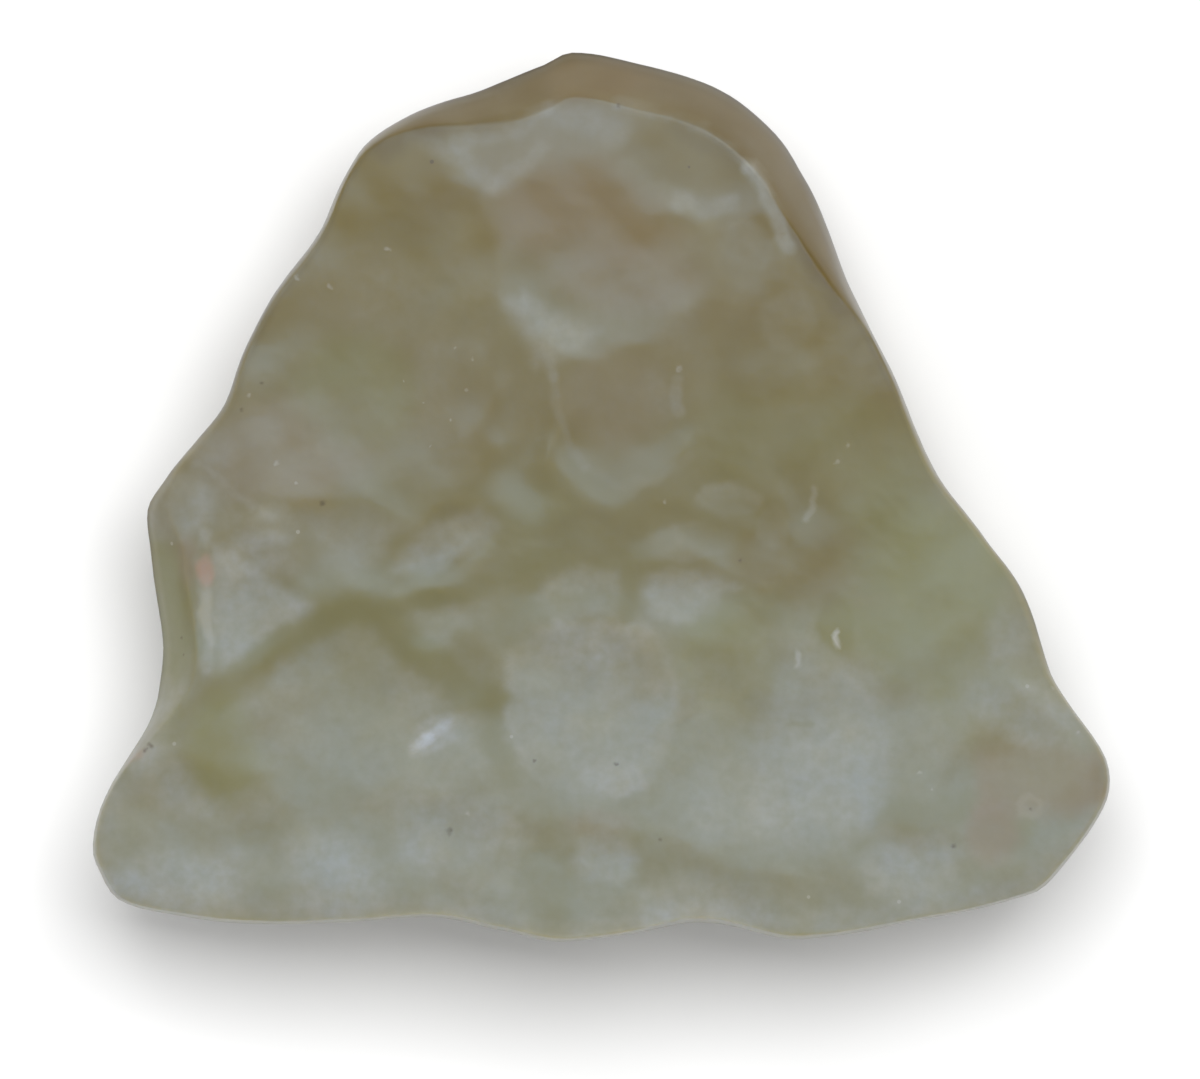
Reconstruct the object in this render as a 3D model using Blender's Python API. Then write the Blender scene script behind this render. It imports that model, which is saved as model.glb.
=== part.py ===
"""Raw Libyan desert glass: one wind-worn lump of natural glass, lying on its flattest side.

The lump is a subdivided cube whose six sides are carried onto the stone: the cube's top becomes
the scooped upper face, its four sides become the steep wall round the edge, and its underside
becomes the belly with a small flat land to rest on. +X runs along the longest side, +Z is up, and
the origin is on the resting plane, under the middle of the bounding box.

Lengths in the constants are millimetres, and angles are degrees. MM turns lengths into metres.
"""

from typing import NamedTuple

import bmesh
import bpy
import numpy as np

MM = 0.001

# The stone seen from above. The outline is read round STAR_CENTRE, from which every point of it
# is in plain sight: apex at +Y, the two broad corners at -X and +X, the long side at -Y.
STAR_CENTRE = (0.0, -4.7)
OUTLINE = (
    (-1.4, 20.1), (1.6, 19.6), (5.4, 18.4), (8.0, 16.3), (9.2, 14.4), (11.3, 9.4),
    (13.7, 4.4), (15.2, 1.0), (17.3, -1.8), (18.9, -4.0), (20.3, -7.9), (21.2, -9.4),
    (22.8, -11.8), (23.0, -13.0), (22.7, -14.1), (20.8, -16.8), (19.8, -17.8), (18.7, -18.2),
    (14.1, -19.2), (10.2, -19.9), (8.5, -20.0), (6.2, -19.5), (5.1, -19.3), (3.7, -19.3),
    (0.4, -19.9), (-2.1, -20.1), (-4.5, -19.6), (-7.8, -19.0), (-12.5, -19.3), (-18.8, -19.0),
    (-21.7, -18.3), (-22.7, -16.9), (-23.0, -15.8), (-22.5, -13.7), (-20.5, -10.3),
    (-19.9, -8.0), (-19.9, -6.0), (-20.4, -2.4), (-20.5, -0.5), (-19.7, 0.8), (-17.2, 3.9),
    (-16.2, 6.5), (-14.9, 9.0), (-12.8, 11.9), (-11.5, 14.7), (-10.6, 16.0), (-8.6, 17.3),
    (-5.4, 18.4), (-2.7, 19.5),
)

# The stone seen from the side. Between BROW_Y and LIP_Y the middle of the upper face stands at
# CROWN_HEIGHT. It falls away from BROW_Y to the apex and from the middle to both flanks, and rises
# from LIP_Y to a lip along the long side. Each rate is in mm for each square mm of distance.
CROWN_HEIGHT = 12.0
BROW_Y = 8.0
BROW_FALL = 0.016
LIP_Y = 4.0
LIP_RISE = 0.0042
FLANK_FALL = 0.0048

# The edge. The upper face turns down by EDGE_FALL over its last EDGE_REACH. A bevel then runs down
# to the rim, the widest line of the wall, and the belly runs in and down from there to the land.
# SLANT and SQUARE shape both slopes: a low SLANT makes one straight with a crisp inner edge, and a
# high SQUARE makes it upright at the rim. ON_WALL is the share of a slope's width that the rows of
# the wall cover, and the top or the underside of the cube covers the rest.
EDGE_FALL = 0.35
EDGE_REACH = 3.5
RIM_HEIGHT = 9.2
RIM_FALL_TO_APEX = 1.0
BEVEL_WIDTH = 0.26
BEVEL_SLANT = 2.0
BEVEL_SQUARE = 2.0
BEVEL_ON_WALL = 1.0
BELLY_WIDTH = 9.5
BELLY_SLANT = 1.9
BELLY_SQUARE = 1.7
BELLY_ON_WALL = 0.2

# Waves that keep the wall from being even all round: (reach in mm, waves round the stone, phase).
RIM_WAVES = ((0.6, 3, 0.5), (0.35, 7, 2.0))
BEVEL_WAVES = ((0.05, 5, 0.9), (0.03, 11, 2.4))
BELLY_WAVES = ((1.3, 4, 1.1), (0.8, 7, 0.2))

# Dishes in the wall fade out over RIM_KEEP above and below the rim, which keeps the outline, and
# over WALL_REACH in from it.
RIM_KEEP = 1.3
WALL_REACH = 8.0

# How far the edges of the scoops wander from true ellipses: (reach in mm, radians per mm along
# x, radians per mm along y, phase).
WANDER_X = ((0.22, 0.0, 0.9, 0.6), (0.14, -1.1, 2.1, 1.7))
WANDER_Y = ((0.22, 0.8, 0.0, 2.1), (0.14, 1.9, 1.3, 0.3))

# How much the ridges between scoops are rounded, how much more they are at the long side, where
# the sand has blunted them, and how softly a lone scoop runs out into the crown.
RIDGE_ROUNDING = 0.12
BLUNTING = 0.03
BLUNT_FROM_Y = 0.0
BLUNT_OVER = 12.0
SKIRT_ROUNDING = 0.1

# 1 makes each scoop a paraboloid, and more makes its floor flatter and its walls steeper.
FLOOR_FLATNESS = 1.15

# Mesh density: cells along each side of the cube, rows up its wall, and extra cuts across each
# cell of its top.
CELLS = 28
WALL_ROWS = 6
FACE_CUTS = 1

# The cube reaches from -1 to 1, and points this near to one level count as lying on it.
SAME_LEVEL = 0.001

GLASS_COLOUR = (0.25, 0.23, 0.15, 1.0)
GLASS_ROUGHNESS = 0.38
GLASS_IOR = 1.46


class Scoop(NamedTuple):
    """A dish that the wind wore into the stone.

    lean above 0 puts the deepest place nearer the dish's -Y end, which makes that end steeper.
    """

    name: str
    x: float
    y: float
    half_width: float
    half_length: float
    turn: float
    depth: float
    lean: float


class Chamfer(NamedTuple):
    """A stretch of the edge where the bevel is wide and straight, seen from STAR_CENTRE.

    It keeps its full width over half_span to each side of bearing, and runs out over fade.
    """

    bearing: float
    half_span: float
    fade: float
    width: float


class WallDish(NamedTuple):
    """A shallow dish in the wall, seen from STAR_CENTRE in the direction of bearing."""

    bearing: float
    height: float
    half_width: float
    half_height: float
    depth: float


# The brow at the apex, and the notch in the left side.
CHAMFERS = (
    Chamfer(82, 15, 24, 2.1),
    Chamfer(182, 8, 12, 1.6),
)
CHAMFER_SLANT = 1.25
CHAMFER_SQUARE = 1.25

# Where the upper face, the underside and the wall are hollowed.
UPPER_SCOOPS = (
    Scoop("rim dish", 4.1, 14.7, 3.3, 2.5, -14, 0.42, 0.4),
    Scoop("rim dish foot", 6.5, 11.3, 1.6, 1.7, 10, 0.2, -0.2),
    Scoop("great bowl", -0.1, 11.0, 5.2, 4.5, -4, 0.52, 0.3),
    Scoop("brow dimple", -5.1, 15.3, 1.6, 1.1, 20, 0.18, 0.0),
    Scoop("brow oval", -1.0, 16.9, 1.6, 0.7, 0, 0.08, 0.0),
    Scoop("round cup", 1.0, 3.4, 3.1, 3.2, 0, 0.42, 0.45),
    Scoop("trough", -3.6, 3.7, 1.4, 4.1, 4, 0.3, 0.5),
    Scoop("left hollow", -10.4, 7.6, 5.9, 9.0, -14, 0.78, 0.0),
    Scoop("left foot", -12.0, -2.2, 2.9, 2.0, 8, 0.35, -0.2),
    Scoop("left shoulder", -18.6, -0.3, 2.7, 1.8, 25, 0.22, -0.3),
    Scoop("left facet", -16.0, -4.6, 2.8, 3.5, 25, 0.42, -0.4),
    Scoop("slant", -7.2, -2.2, 2.4, 1.4, 33, 0.34, -0.3),
    Scoop("wide dish", -11.4, -10.2, 5.1, 5.2, 0, 0.5, -0.6),
    Scoop("glint", -7.4, -10.5, 1.6, 1.2, 20, 0.26, -0.1),
    Scoop("bright dish", -6.9, -10.3, 2.5, 3.6, -15, 0.34, -0.4),
    Scoop("pocket", -7.7, -5.7, 1.8, 1.4, 10, 0.22, -0.3),
    Scoop("dot a", -3.8, 0.7, 1.3, 1.2, 0, 0.14, -0.2),
    Scoop("dot b", 5.8, -0.2, 1.4, 1.1, 0, 0.1, -0.2),
    Scoop("dot c", 7.5, -1.4, 0.8, 1.1, 0, 0.12, -0.2),
    Scoop("grey oval", 4.0, -2.0, 2.3, 1.2, 0, 0.13, -0.3),
    Scoop("bright oval", 3.7, -4.5, 2.4, 1.4, -8, 0.2, -0.3),
    Scoop("mid oval", -1.2, -4.3, 2.2, 1.4, 5, 0.15, -0.3),
    Scoop("frosted disc", -0.5, -9.5, 3.7, 4.2, 0, 0.4, -0.65),
    Scoop("side dish", 5.5, -11.4, 2.6, 4.4, 0, 0.4, -0.5),
    Scoop("right dish", 10.4, -11.2, 3.8, 5.3, -5, 0.38, -0.55),
    Scoop("hem a", -2.4, -17.1, 3.6, 2.4, 0, 0.26, -0.3),
    Scoop("hem dot", 0.3, -16.4, 1.4, 1.2, 0, 0.18, -0.2),
    Scoop("hem b", 4.1, -18.1, 3.8, 1.9, -8, 0.22, -0.3),
    Scoop("hem c", 9.0, -18.7, 4.2, 1.6, -3, 0.16, -0.3),
    Scoop("hem d", 14.2, -16.9, 3.0, 2.0, 5, 0.24, -0.4),
    Scoop("foot left", -18.3, -15.5, 4.8, 3.4, 5, 0.45, -0.5),
    Scoop("foot mid", -9.1, -15.8, 4.8, 3.1, -4, 0.32, -0.5),
    Scoop("right slope", 12.8, -2.4, 4.2, 7.5, -22, 0.42, -0.1),
    Scoop("nick", 9.5, -0.2, 1.2, 1.4, 20, 0.22, 0.3),
    Scoop("right upper", 8.3, 7.7, 1.9, 1.6, 10, 0.08, 0.3),
    Scoop("right corner", 18.7, -12.7, 3.3, 3.4, -30, 0.42, -0.2),
    Scoop("right wing", 16.3, -9.2, 2.3, 2.8, -20, 0.12, -0.3),
)

LOWER_SCOOPS = (
    Scoop("under apex", -1.0, 10.5, 6.5, 7.5, 10, 1.5, 0.0),
    Scoop("under right shoulder", 11.5, 2.5, 5.5, 8.5, 20, 1.4, 0.0),
    Scoop("under right corner", 16.5, -9.5, 6.5, 6.0, -20, 1.3, 0.0),
    Scoop("under right hem", 8.0, -15.5, 7.5, 5.2, -8, 1.2, 0.0),
    Scoop("under left hem", -6.5, -15.5, 8.0, 5.2, 6, 1.4, 0.0),
    Scoop("under left corner", -16.5, -11.0, 6.5, 6.5, 30, 1.3, 0.0),
    Scoop("under left shoulder", -13.5, 1.0, 5.8, 8.0, -25, 1.5, 0.0),
)

WALL_DISHES = (
    WallDish(6, 4.2, 5.4, 3.0, 1.9),
    WallDish(33, 5.2, 5.4, 2.8, 1.7),
    WallDish(60, 3.8, 5.6, 3.0, 1.8),
    WallDish(87, 4.8, 4.8, 2.6, 1.5),
    WallDish(113, 3.8, 5.6, 3.0, 1.8),
    WallDish(140, 5.2, 5.4, 2.8, 1.9),
    WallDish(166, 3.8, 5.4, 3.0, 2.1),
    WallDish(193, 5.0, 5.4, 3.0, 2.2),
    WallDish(212, 6.6, 4.6, 2.4, 1.8),
    WallDish(228, 3.6, 5.4, 2.8, 2.2),
    WallDish(248, 6.4, 5.0, 2.8, 2.2),
    WallDish(268, 3.4, 5.0, 2.6, 2.0),
    WallDish(287, 6.6, 5.0, 2.8, 2.2),
    WallDish(306, 3.6, 5.4, 2.8, 2.2),
    WallDish(325, 6.2, 5.0, 2.8, 2.0),
    WallDish(344, 3.8, 5.6, 3.0, 2.1),
)


def outline_radius(angle):
    """Distance from STAR_CENTRE to the outline at each angle, along one smooth closed curve."""
    offsets = np.array(OUTLINE) - STAR_CENTRE
    angles = np.arctan2(offsets[:, 1], offsets[:, 0])
    radii = np.hypot(offsets[:, 0], offsets[:, 1])
    order = np.argsort(angles)
    angles = angles[order]
    radii = radii[order]
    angles = np.concatenate([angles[-2:] - 2 * np.pi, angles, angles[:2] + 2 * np.pi])
    radii = np.concatenate([radii[-2:], radii, radii[:2]])
    slopes = (radii[2:] - radii[:-2]) / (angles[2:] - angles[:-2])
    angles = angles[1:-1]
    radii = radii[1:-1]

    turned = np.mod(angle - angles[0], 2 * np.pi) + angles[0]
    span = np.clip(np.searchsorted(angles, turned, side="right") - 1, 0, len(angles) - 2)
    width = angles[span + 1] - angles[span]
    t = (turned - angles[span]) / width
    from_start = (2 * t**3 - 3 * t**2 + 1) * radii[span] + (t**3 - 2 * t**2 + t) * width * slopes[span]
    from_end = (3 * t**2 - 2 * t**3) * radii[span + 1] + (t**3 - t**2) * width * slopes[span + 1]
    return from_start + from_end


def waves_round(angle, waves):
    return sum(reach * np.sin(count * angle + phase) for reach, count, phase in waves)


def rim_height(angle):
    return RIM_HEIGHT - RIM_FALL_TO_APEX * np.sin(angle) + waves_round(angle, RIM_WAVES)


def smooth_rise(value):
    """0 below 0 and 1 above 1, with a smooth rise between."""
    t = np.clip(value, 0, 1)
    return t * t * (3 - 2 * t)


def bevel_profile(angle):
    """Width, slant and square of the bevel at each angle."""
    width = BEVEL_WIDTH + waves_round(angle, BEVEL_WAVES)
    slant = np.full_like(angle, BEVEL_SLANT)
    square = np.full_like(angle, BEVEL_SQUARE)
    for chamfer in CHAMFERS:
        off = np.degrees(np.abs(np.angle(np.exp(1j * (angle - np.radians(chamfer.bearing))))))
        share = smooth_rise((chamfer.half_span + chamfer.fade - off) / chamfer.fade)
        width += share * (chamfer.width - BEVEL_WIDTH)
        slant += share * (CHAMFER_SLANT - BEVEL_SLANT)
        square += share * (CHAMFER_SQUARE - BEVEL_SQUARE)
    return width, slant, square


def belly_width(angle):
    return BELLY_WIDTH + waves_round(angle, BELLY_WAVES)


def wander(x, y, waves):
    """Sum of slow waves, which bends straight lines and ellipses a little."""
    total = np.zeros_like(x)
    for reach, along_x, along_y, phase in waves:
        total += reach * np.sin(along_x * x + along_y * y + phase)
    return total


def scoop_depths(x, y, scoops):
    """How deep each scoop cuts at x, y, below 0 outside it: one row per scoop."""
    bent_x = x + wander(x, y, WANDER_X)
    bent_y = y + wander(x, y, WANDER_Y)
    rows = []
    for scoop in scoops:
        turn = np.radians(scoop.turn)
        from_x = bent_x - scoop.x
        from_y = bent_y - scoop.y
        across = (from_x * np.cos(turn) + from_y * np.sin(turn)) / scoop.half_width
        along = (from_y * np.cos(turn) - from_x * np.sin(turn)) / scoop.half_length
        dish = 1 - (across**2 + along**2) ** FLOOR_FLATNESS
        rows.append(scoop.depth * dish * (1 - scoop.lean * np.clip(along, -1, 1)))
    return np.array(rows)


def deepest(depths, rounding):
    """The deepest cut at each place, with the ridges between cuts rounded off."""
    highest = depths.max(axis=0)
    return highest + rounding * np.log(np.exp((depths - highest) / rounding).sum(axis=0))


def upper_face_height(x, y, inset):
    """Height of the upper face away from the bevel: its crown, less what the scoops take off it."""
    crown = CROWN_HEIGHT - FLANK_FALL * x**2
    crown -= BROW_FALL * np.maximum(y - BROW_Y, 0) ** 2
    crown += LIP_RISE * np.maximum(LIP_Y - y, 0) ** 2
    crown -= EDGE_FALL * np.clip(1 - inset / EDGE_REACH, 0, 1) ** 2
    rounding = RIDGE_ROUNDING + BLUNTING * smooth_rise((BLUNT_FROM_Y - y) / BLUNT_OVER)
    cut = deepest(scoop_depths(x, y, UPPER_SCOOPS), rounding)
    return crown - deepest(np.array([cut, np.zeros_like(cut)]), SKIRT_ROUNDING)


def belly_height(x, y):
    """Height of the underside away from the wall: 0 on the land, and more where it is hollowed."""
    return np.maximum(deepest(scoop_depths(x, y, LOWER_SCOOPS), RIDGE_ROUNDING), 0)


def wall_hollow(angle, radius, height):
    """How far the dishes push the wall in, at a height and at an angle round STAR_CENTRE."""
    rows = [np.zeros_like(angle)]
    for dish in WALL_DISHES:
        turn = np.angle(np.exp(1j * (angle - np.radians(dish.bearing))))
        across = turn * radius / dish.half_width
        up = (height - dish.height) / dish.half_height
        rows.append(dish.depth * (1 - across**2 - up**2))
    return deepest(np.array(rows), RIDGE_ROUNDING)


def slope_share(inset, width, slant, square):
    """Share of the wall's height reached at a distance in from the rim: 0 to 1."""
    outward = np.clip(1 - inset / width, 0, 1)
    return (1 - outward**slant) ** (1 / square)


def wall_inset(rise, edge_inset, width, slant):
    """Distance in from the rim for rise 0 to 1, which spaces the wall's rows evenly."""
    steepest = np.arccos((1 - edge_inset / width) ** (slant / 2))
    return width * (1 - np.cos(rise * steepest) ** (2 / slant))


def square_to_polar(u, v):
    """Ring (0 to 1) and angle of each point of a square, with its rings turned into circles."""
    ring = np.maximum(np.abs(u), np.abs(v))
    wide = np.abs(u) >= np.abs(v)
    over = np.where(wide, u, v)
    share = np.where(wide, v, -u) / np.where(over == 0, 1, over)
    start = np.where(wide, 0, np.pi / 2) + np.where(over < 0, np.pi, 0)
    return ring, start + share * np.pi / 4


def stone_points(cube):
    """Carries the points of a cube of half-side 1 onto the stone, in millimetres."""
    ring, angle = square_to_polar(cube[:, 0], cube[:, 1])
    level = cube[:, 2]
    above = level >= 0
    bevel, bevel_slant, bevel_square = bevel_profile(angle)
    width = np.where(above, bevel, belly_width(angle))
    edge_inset = width * np.where(above, BEVEL_ON_WALL, BELLY_ON_WALL)
    slant = np.where(above, bevel_slant, BELLY_SLANT)
    square = np.where(above, bevel_square, BELLY_SQUARE)

    radius = outline_radius(angle)
    on_sheet = np.abs(level) > 1 - SAME_LEVEL
    inset_on_wall = wall_inset(np.abs(level), edge_inset, width, slant)
    inset = np.where(on_sheet, radius - ring * (radius - edge_inset), inset_on_wall)
    x = STAR_CENTRE[0] + (radius - inset) * np.cos(angle)
    y = STAR_CENTRE[1] + (radius - inset) * np.sin(angle)

    rim = rim_height(angle)
    far = np.where(above, upper_face_height(x, y, inset), belly_height(x, y))
    z = rim + (far - rim) * slope_share(inset, width, slant, square)

    hollow = wall_hollow(angle, radius, z) * np.clip(1 - inset / WALL_REACH, 0, 1) ** 2
    hollow *= 1 - np.exp(-(((z - rim) / RIM_KEEP) ** 2))
    x -= hollow * np.cos(angle)
    y -= hollow * np.sin(angle)
    return np.stack([x, y, z], axis=1)


def is_level(edge):
    return abs(edge.verts[0].co.z - edge.verts[1].co.z) < SAME_LEVEL


def subdivided_cube():
    """A cube of half-side 1 with level rings up its wall and a grid on its top and underside."""
    bm = bmesh.new()
    bmesh.ops.create_cube(bm, size=2.0)
    upright = [edge for edge in bm.edges if not is_level(edge)]
    bmesh.ops.subdivide_edges(bm, edges=upright, cuts=WALL_ROWS - 1)
    level = [edge for edge in bm.edges if is_level(edge)]
    bmesh.ops.subdivide_edges(bm, edges=level, cuts=CELLS - 1, use_grid_fill=True)
    upper = [edge for edge in bm.edges if min(vert.co.z for vert in edge.verts) > 1 - SAME_LEVEL]
    bmesh.ops.subdivide_edges(bm, edges=upper, cuts=FACE_CUTS, use_grid_fill=True)
    return bm


def stone_mesh(name):
    bm = subdivided_cube()
    cube = np.array([vert.co for vert in bm.verts])
    for vert, point in zip(bm.verts, stone_points(cube) * MM):
        vert.co = point
    bmesh.ops.triangulate(bm, faces=bm.faces[:])
    bmesh.ops.recalc_face_normals(bm, faces=bm.faces[:])
    mesh = bpy.data.meshes.new(name)
    bm.to_mesh(mesh)
    bm.free()
    mesh.shade_smooth()
    return mesh


def glass_material():
    """Cloudy olive-brown natural glass with a sand-frosted skin."""
    material = bpy.data.materials.new("frosted_desert_glass")
    material.use_nodes = True
    shader = material.node_tree.nodes["Principled BSDF"]
    shader.inputs["Base Color"].default_value = GLASS_COLOUR
    shader.inputs["Roughness"].default_value = GLASS_ROUGHNESS
    shader.inputs["Metallic"].default_value = 0.0
    shader.inputs["IOR"].default_value = GLASS_IOR
    return material


def main():
    for leftover in list(bpy.data.objects):
        bpy.data.objects.remove(leftover, do_unlink=True)

    collection = bpy.data.collections.new("libyan_desert_glass")
    bpy.context.scene.collection.children.link(collection)

    stone = bpy.data.objects.new("desert_glass", stone_mesh("desert_glass"))
    stone.data.materials.append(glass_material())
    collection.objects.link(stone)


main()
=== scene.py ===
"""A raw lump of Libyan desert glass: its finely worn surface, cloudy glass and studio light.

The frame holds the stone as a faceted solid. Here the same form is made again with a far finer
surface, from the same measurements, and takes its place. +X runs along the stone's long side,
+Y to its apex, +Z up, and the origin is on the table under the middle of the stone.

Lengths in the constants are millimetres, and angles are degrees. MM turns lengths into metres.
"""

import math
from typing import NamedTuple

import bmesh
import bpy
import numpy as np
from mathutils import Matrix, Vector, noise


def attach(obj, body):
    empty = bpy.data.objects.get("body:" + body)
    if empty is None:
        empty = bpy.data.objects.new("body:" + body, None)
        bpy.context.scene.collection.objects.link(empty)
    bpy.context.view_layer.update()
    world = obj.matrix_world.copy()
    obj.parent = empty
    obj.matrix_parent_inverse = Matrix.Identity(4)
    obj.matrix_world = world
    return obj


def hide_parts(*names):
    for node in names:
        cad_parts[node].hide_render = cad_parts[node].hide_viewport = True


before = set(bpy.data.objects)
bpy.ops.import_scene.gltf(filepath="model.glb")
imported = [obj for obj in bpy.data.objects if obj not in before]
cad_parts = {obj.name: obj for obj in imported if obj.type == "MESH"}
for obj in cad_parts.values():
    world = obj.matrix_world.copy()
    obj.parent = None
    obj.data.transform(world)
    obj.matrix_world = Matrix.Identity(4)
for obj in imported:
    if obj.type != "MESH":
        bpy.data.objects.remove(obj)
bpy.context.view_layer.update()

MM = 0.001

# The stone seen from above. The outline is read round STAR_CENTRE, from which every point of it
# is in plain sight: apex at +Y, the two broad corners at -X and +X, the long side at -Y.
STAR_CENTRE = (0.0, -4.7)
OUTLINE = (
    (-1.4, 20.1), (1.6, 19.6), (5.4, 18.4), (8.0, 16.3), (9.2, 14.4), (11.3, 9.4),
    (13.7, 4.4), (15.2, 1.0), (17.3, -1.8), (18.9, -4.0), (20.3, -7.9), (21.2, -9.4),
    (22.8, -11.8), (23.0, -13.0), (22.7, -14.1), (20.8, -16.8), (19.8, -17.8), (18.7, -18.2),
    (14.1, -19.2), (10.2, -19.9), (8.5, -20.0), (6.2, -19.5), (5.1, -19.3), (3.7, -19.3),
    (0.4, -19.9), (-2.1, -20.1), (-4.5, -19.6), (-7.8, -19.0), (-12.5, -19.3), (-18.8, -19.0),
    (-21.7, -18.3), (-22.7, -16.9), (-23.0, -15.8), (-22.5, -13.7), (-20.5, -10.3),
    (-19.9, -8.0), (-19.9, -6.0), (-20.4, -2.4), (-20.5, -0.5), (-19.7, 0.8), (-17.2, 3.9),
    (-16.2, 6.5), (-14.9, 9.0), (-12.8, 11.9), (-11.5, 14.7), (-10.6, 16.0), (-8.6, 17.3),
    (-5.4, 18.4), (-2.7, 19.5),
)

# The stone seen from the side. Between BROW_Y and LIP_Y the middle of the upper face stands at
# CROWN_HEIGHT. It falls away from BROW_Y to the apex and from the middle to both flanks, and rises
# from LIP_Y to a lip along the long side. Each rate is in mm for each square mm of distance.
CROWN_HEIGHT = 12.0
BROW_Y = 8.0
BROW_FALL = 0.016
LIP_Y = 4.0
LIP_RISE = 0.0042
FLANK_FALL = 0.0048

# The edge. The upper face turns down by EDGE_FALL over its last EDGE_REACH. A bevel then runs down
# to the rim, the widest line of the wall, and the belly runs in and down from there to the land.
# SLANT and SQUARE shape both slopes: a low SLANT makes one straight with a crisp inner edge, and a
# high SQUARE makes it upright at the rim. ON_WALL is the share of a slope's width that the rows of
# the wall cover, and the top or the underside of the cube covers the rest.
EDGE_FALL = 0.35
EDGE_REACH = 3.5
RIM_HEIGHT = 9.2
RIM_FALL_TO_APEX = 1.0
BEVEL_WIDTH = 0.26
BEVEL_SLANT = 2.0
BEVEL_SQUARE = 2.0
BEVEL_ON_WALL = 1.0
BELLY_WIDTH = 9.5
BELLY_SLANT = 1.9
BELLY_SQUARE = 1.7
BELLY_ON_WALL = 0.2

# Waves that keep the wall from being even all round: (reach in mm, waves round the stone, phase).
RIM_WAVES = ((0.6, 3, 0.5), (0.35, 7, 2.0))
BEVEL_WAVES = ((0.05, 5, 0.9), (0.03, 11, 2.4))
BELLY_WAVES = ((1.3, 4, 1.1), (0.8, 7, 0.2))

# Dishes in the wall fade out over RIM_KEEP above and below the rim, which keeps the outline, and
# over WALL_REACH in from it.
RIM_KEEP = 1.3
WALL_REACH = 8.0

# How far the edges of the scoops wander from true ellipses: (reach in mm, radians per mm along
# x, radians per mm along y, phase).
WANDER_X = ((0.22, 0.0, 0.9, 0.6), (0.14, -1.1, 2.1, 1.7))
WANDER_Y = ((0.22, 0.8, 0.0, 2.1), (0.14, 1.9, 1.3, 0.3))

# How much the ridges between scoops are rounded, how much more they are at the long side, where
# the sand has blunted them, and how softly a lone scoop runs out into the crown.
RIDGE_ROUNDING = 0.12
BLUNTING = 0.03
BLUNT_FROM_Y = 0.0
BLUNT_OVER = 12.0
SKIRT_ROUNDING = 0.1

# 1 makes each scoop a paraboloid, and more makes its floor flatter and its walls steeper.
FLOOR_FLATNESS = 1.15

# Mesh density: cells along each side of the cube, rows up its wall, and extra cuts across each
# cell of its top.
CELLS = 88
WALL_ROWS = 20
FACE_CUTS = 2

# The cube reaches from -1 to 1, and points this near to one level count as lying on it.
SAME_LEVEL = 0.001

# Fine ripple left by the wind, cut into the surface: (depth in mm, waves per mm).
RIPPLES = ((0.05, 0.45), (0.022, 1.1), (0.010, 2.4))
RIPPLE_FREE_HEIGHT = 0.3


class Patch(NamedTuple):
    """An oval on the upper face where the glass has another tint, frost or polish.

    softness is the width of the edge as a share of the oval.
    """

    name: str
    x: float
    y: float
    half_width: float
    half_length: float
    turn: float
    strength: float
    softness: float = 0.7


class Field(NamedTuple):
    """A patch with corners, which its softness in mm rounds off."""

    name: str
    softness: float
    strength: float
    points: tuple


class Stroke(NamedTuple):
    """A soft-edged line on the upper face. Its edge fades out over one half_width."""

    name: str
    half_width: float
    strength: float
    points: tuple


# Linear colours of the glass body, and of its frosted skin, which also carries painted sheen.
BROWN = (0.165, 0.134, 0.066)
OLIVE = (0.165, 0.155, 0.078)
# The dark brown is partly the body's own colour and partly painted shade.
DARK_BROWN_AND_SHADE = (0.108, 0.074, 0.016)
AMBER = (0.168, 0.128, 0.030)
ORANGE = (0.188, 0.134, 0.070)
PINK = (0.205, 0.170, 0.128)
GREEN = (0.164, 0.164, 0.070)
YELLOW_OLIVE = (0.178, 0.168, 0.068)
STAIN = (0.330, 0.170, 0.110)
CREAM = (0.330, 0.310, 0.225)
WARM_FROST_AND_SHEEN = (0.272, 0.268, 0.226)
COOL_FROST_AND_SHEEN = (0.252, 0.264, 0.256)
DARK_FLECK = (0.070, 0.050, 0.030)
PALE_FLECK_AND_GLINT = (0.360, 0.360, 0.330)

# How far the edges of the marks wander: (reach in mm, waves per mm). Y reads its wandering from
# BLOTCH_STEP away, so that it has nothing to do with that of x.
BLOTCHES = ((0.25, 0.35), (0.20, 0.9), (0.10, 2.2))
BLOTCH_STEP = (31.0, 17.0, 5.0)

# How far from its path, in half widths, a stroke ends.
STROKE_END = 1.3

# Marks are on the upper face alone: they come in over MARKS_OVER above MARKS_FROM_HEIGHT.
MARKS_FROM_HEIGHT = 4.0
MARKS_OVER = 5.0

# The body is part olive and part brown: how olive at OLIVE_Y, how much more for each mm below it,
# and how much it changes from cloud to cloud.
OLIVE_SHARE = 0.45
OLIVE_Y = 4.0
OLIVE_RISE = 0.03
OLIVE_CLOUDS = 0.3
OLIVE_CLOUD_WAVES = 0.16

# The frost away from its marks: a trace at the apex, and more over FROST_OVER from FROST_FROM_Y to
# the long side, with faint clouds. MOST_FROST caps it.
FROST_TRACE = 0.03
FROST_LOW_DOWN = 0.3
FROST_FROM_Y = 1.0
FROST_OVER = 13.0
FROST_CLOUDS = 0.08
FROST_CLOUD_WAVES = 0.55
MOST_FROST = 1.6

# Painted shade: the edge of the upper face is darker by EDGE_SHADE, over EDGE_SHADE_WIDTH in from
# the rim. This comes in from EDGE_SHADE_FROM_Y towards the apex, over EDGE_SHADE_OVER.
EDGE_SHADE = 0.35
EDGE_SHADE_WIDTH = 0.7
EDGE_SHADE_FROM_Y = 0.0
EDGE_SHADE_OVER = 8.0

# Painted shade: the lowest part of the bevel is darker all round, by RIM_SHADE over RIM_SHADE_WIDTH.
RIM_SHADE = 0.5
RIM_SHADE_WIDTH = 0.2

# Painted light: CORNER_INSET in from the rim, where the bevel ends, the body is painted a little
# lighter and the skin paler with painted sheen.
CORNER_LIGHT = 0.1
CORNER_PAINTED_SHEEN = 0.12
CORNER_INSET = 0.26
CORNER_REACH = 0.18

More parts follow.
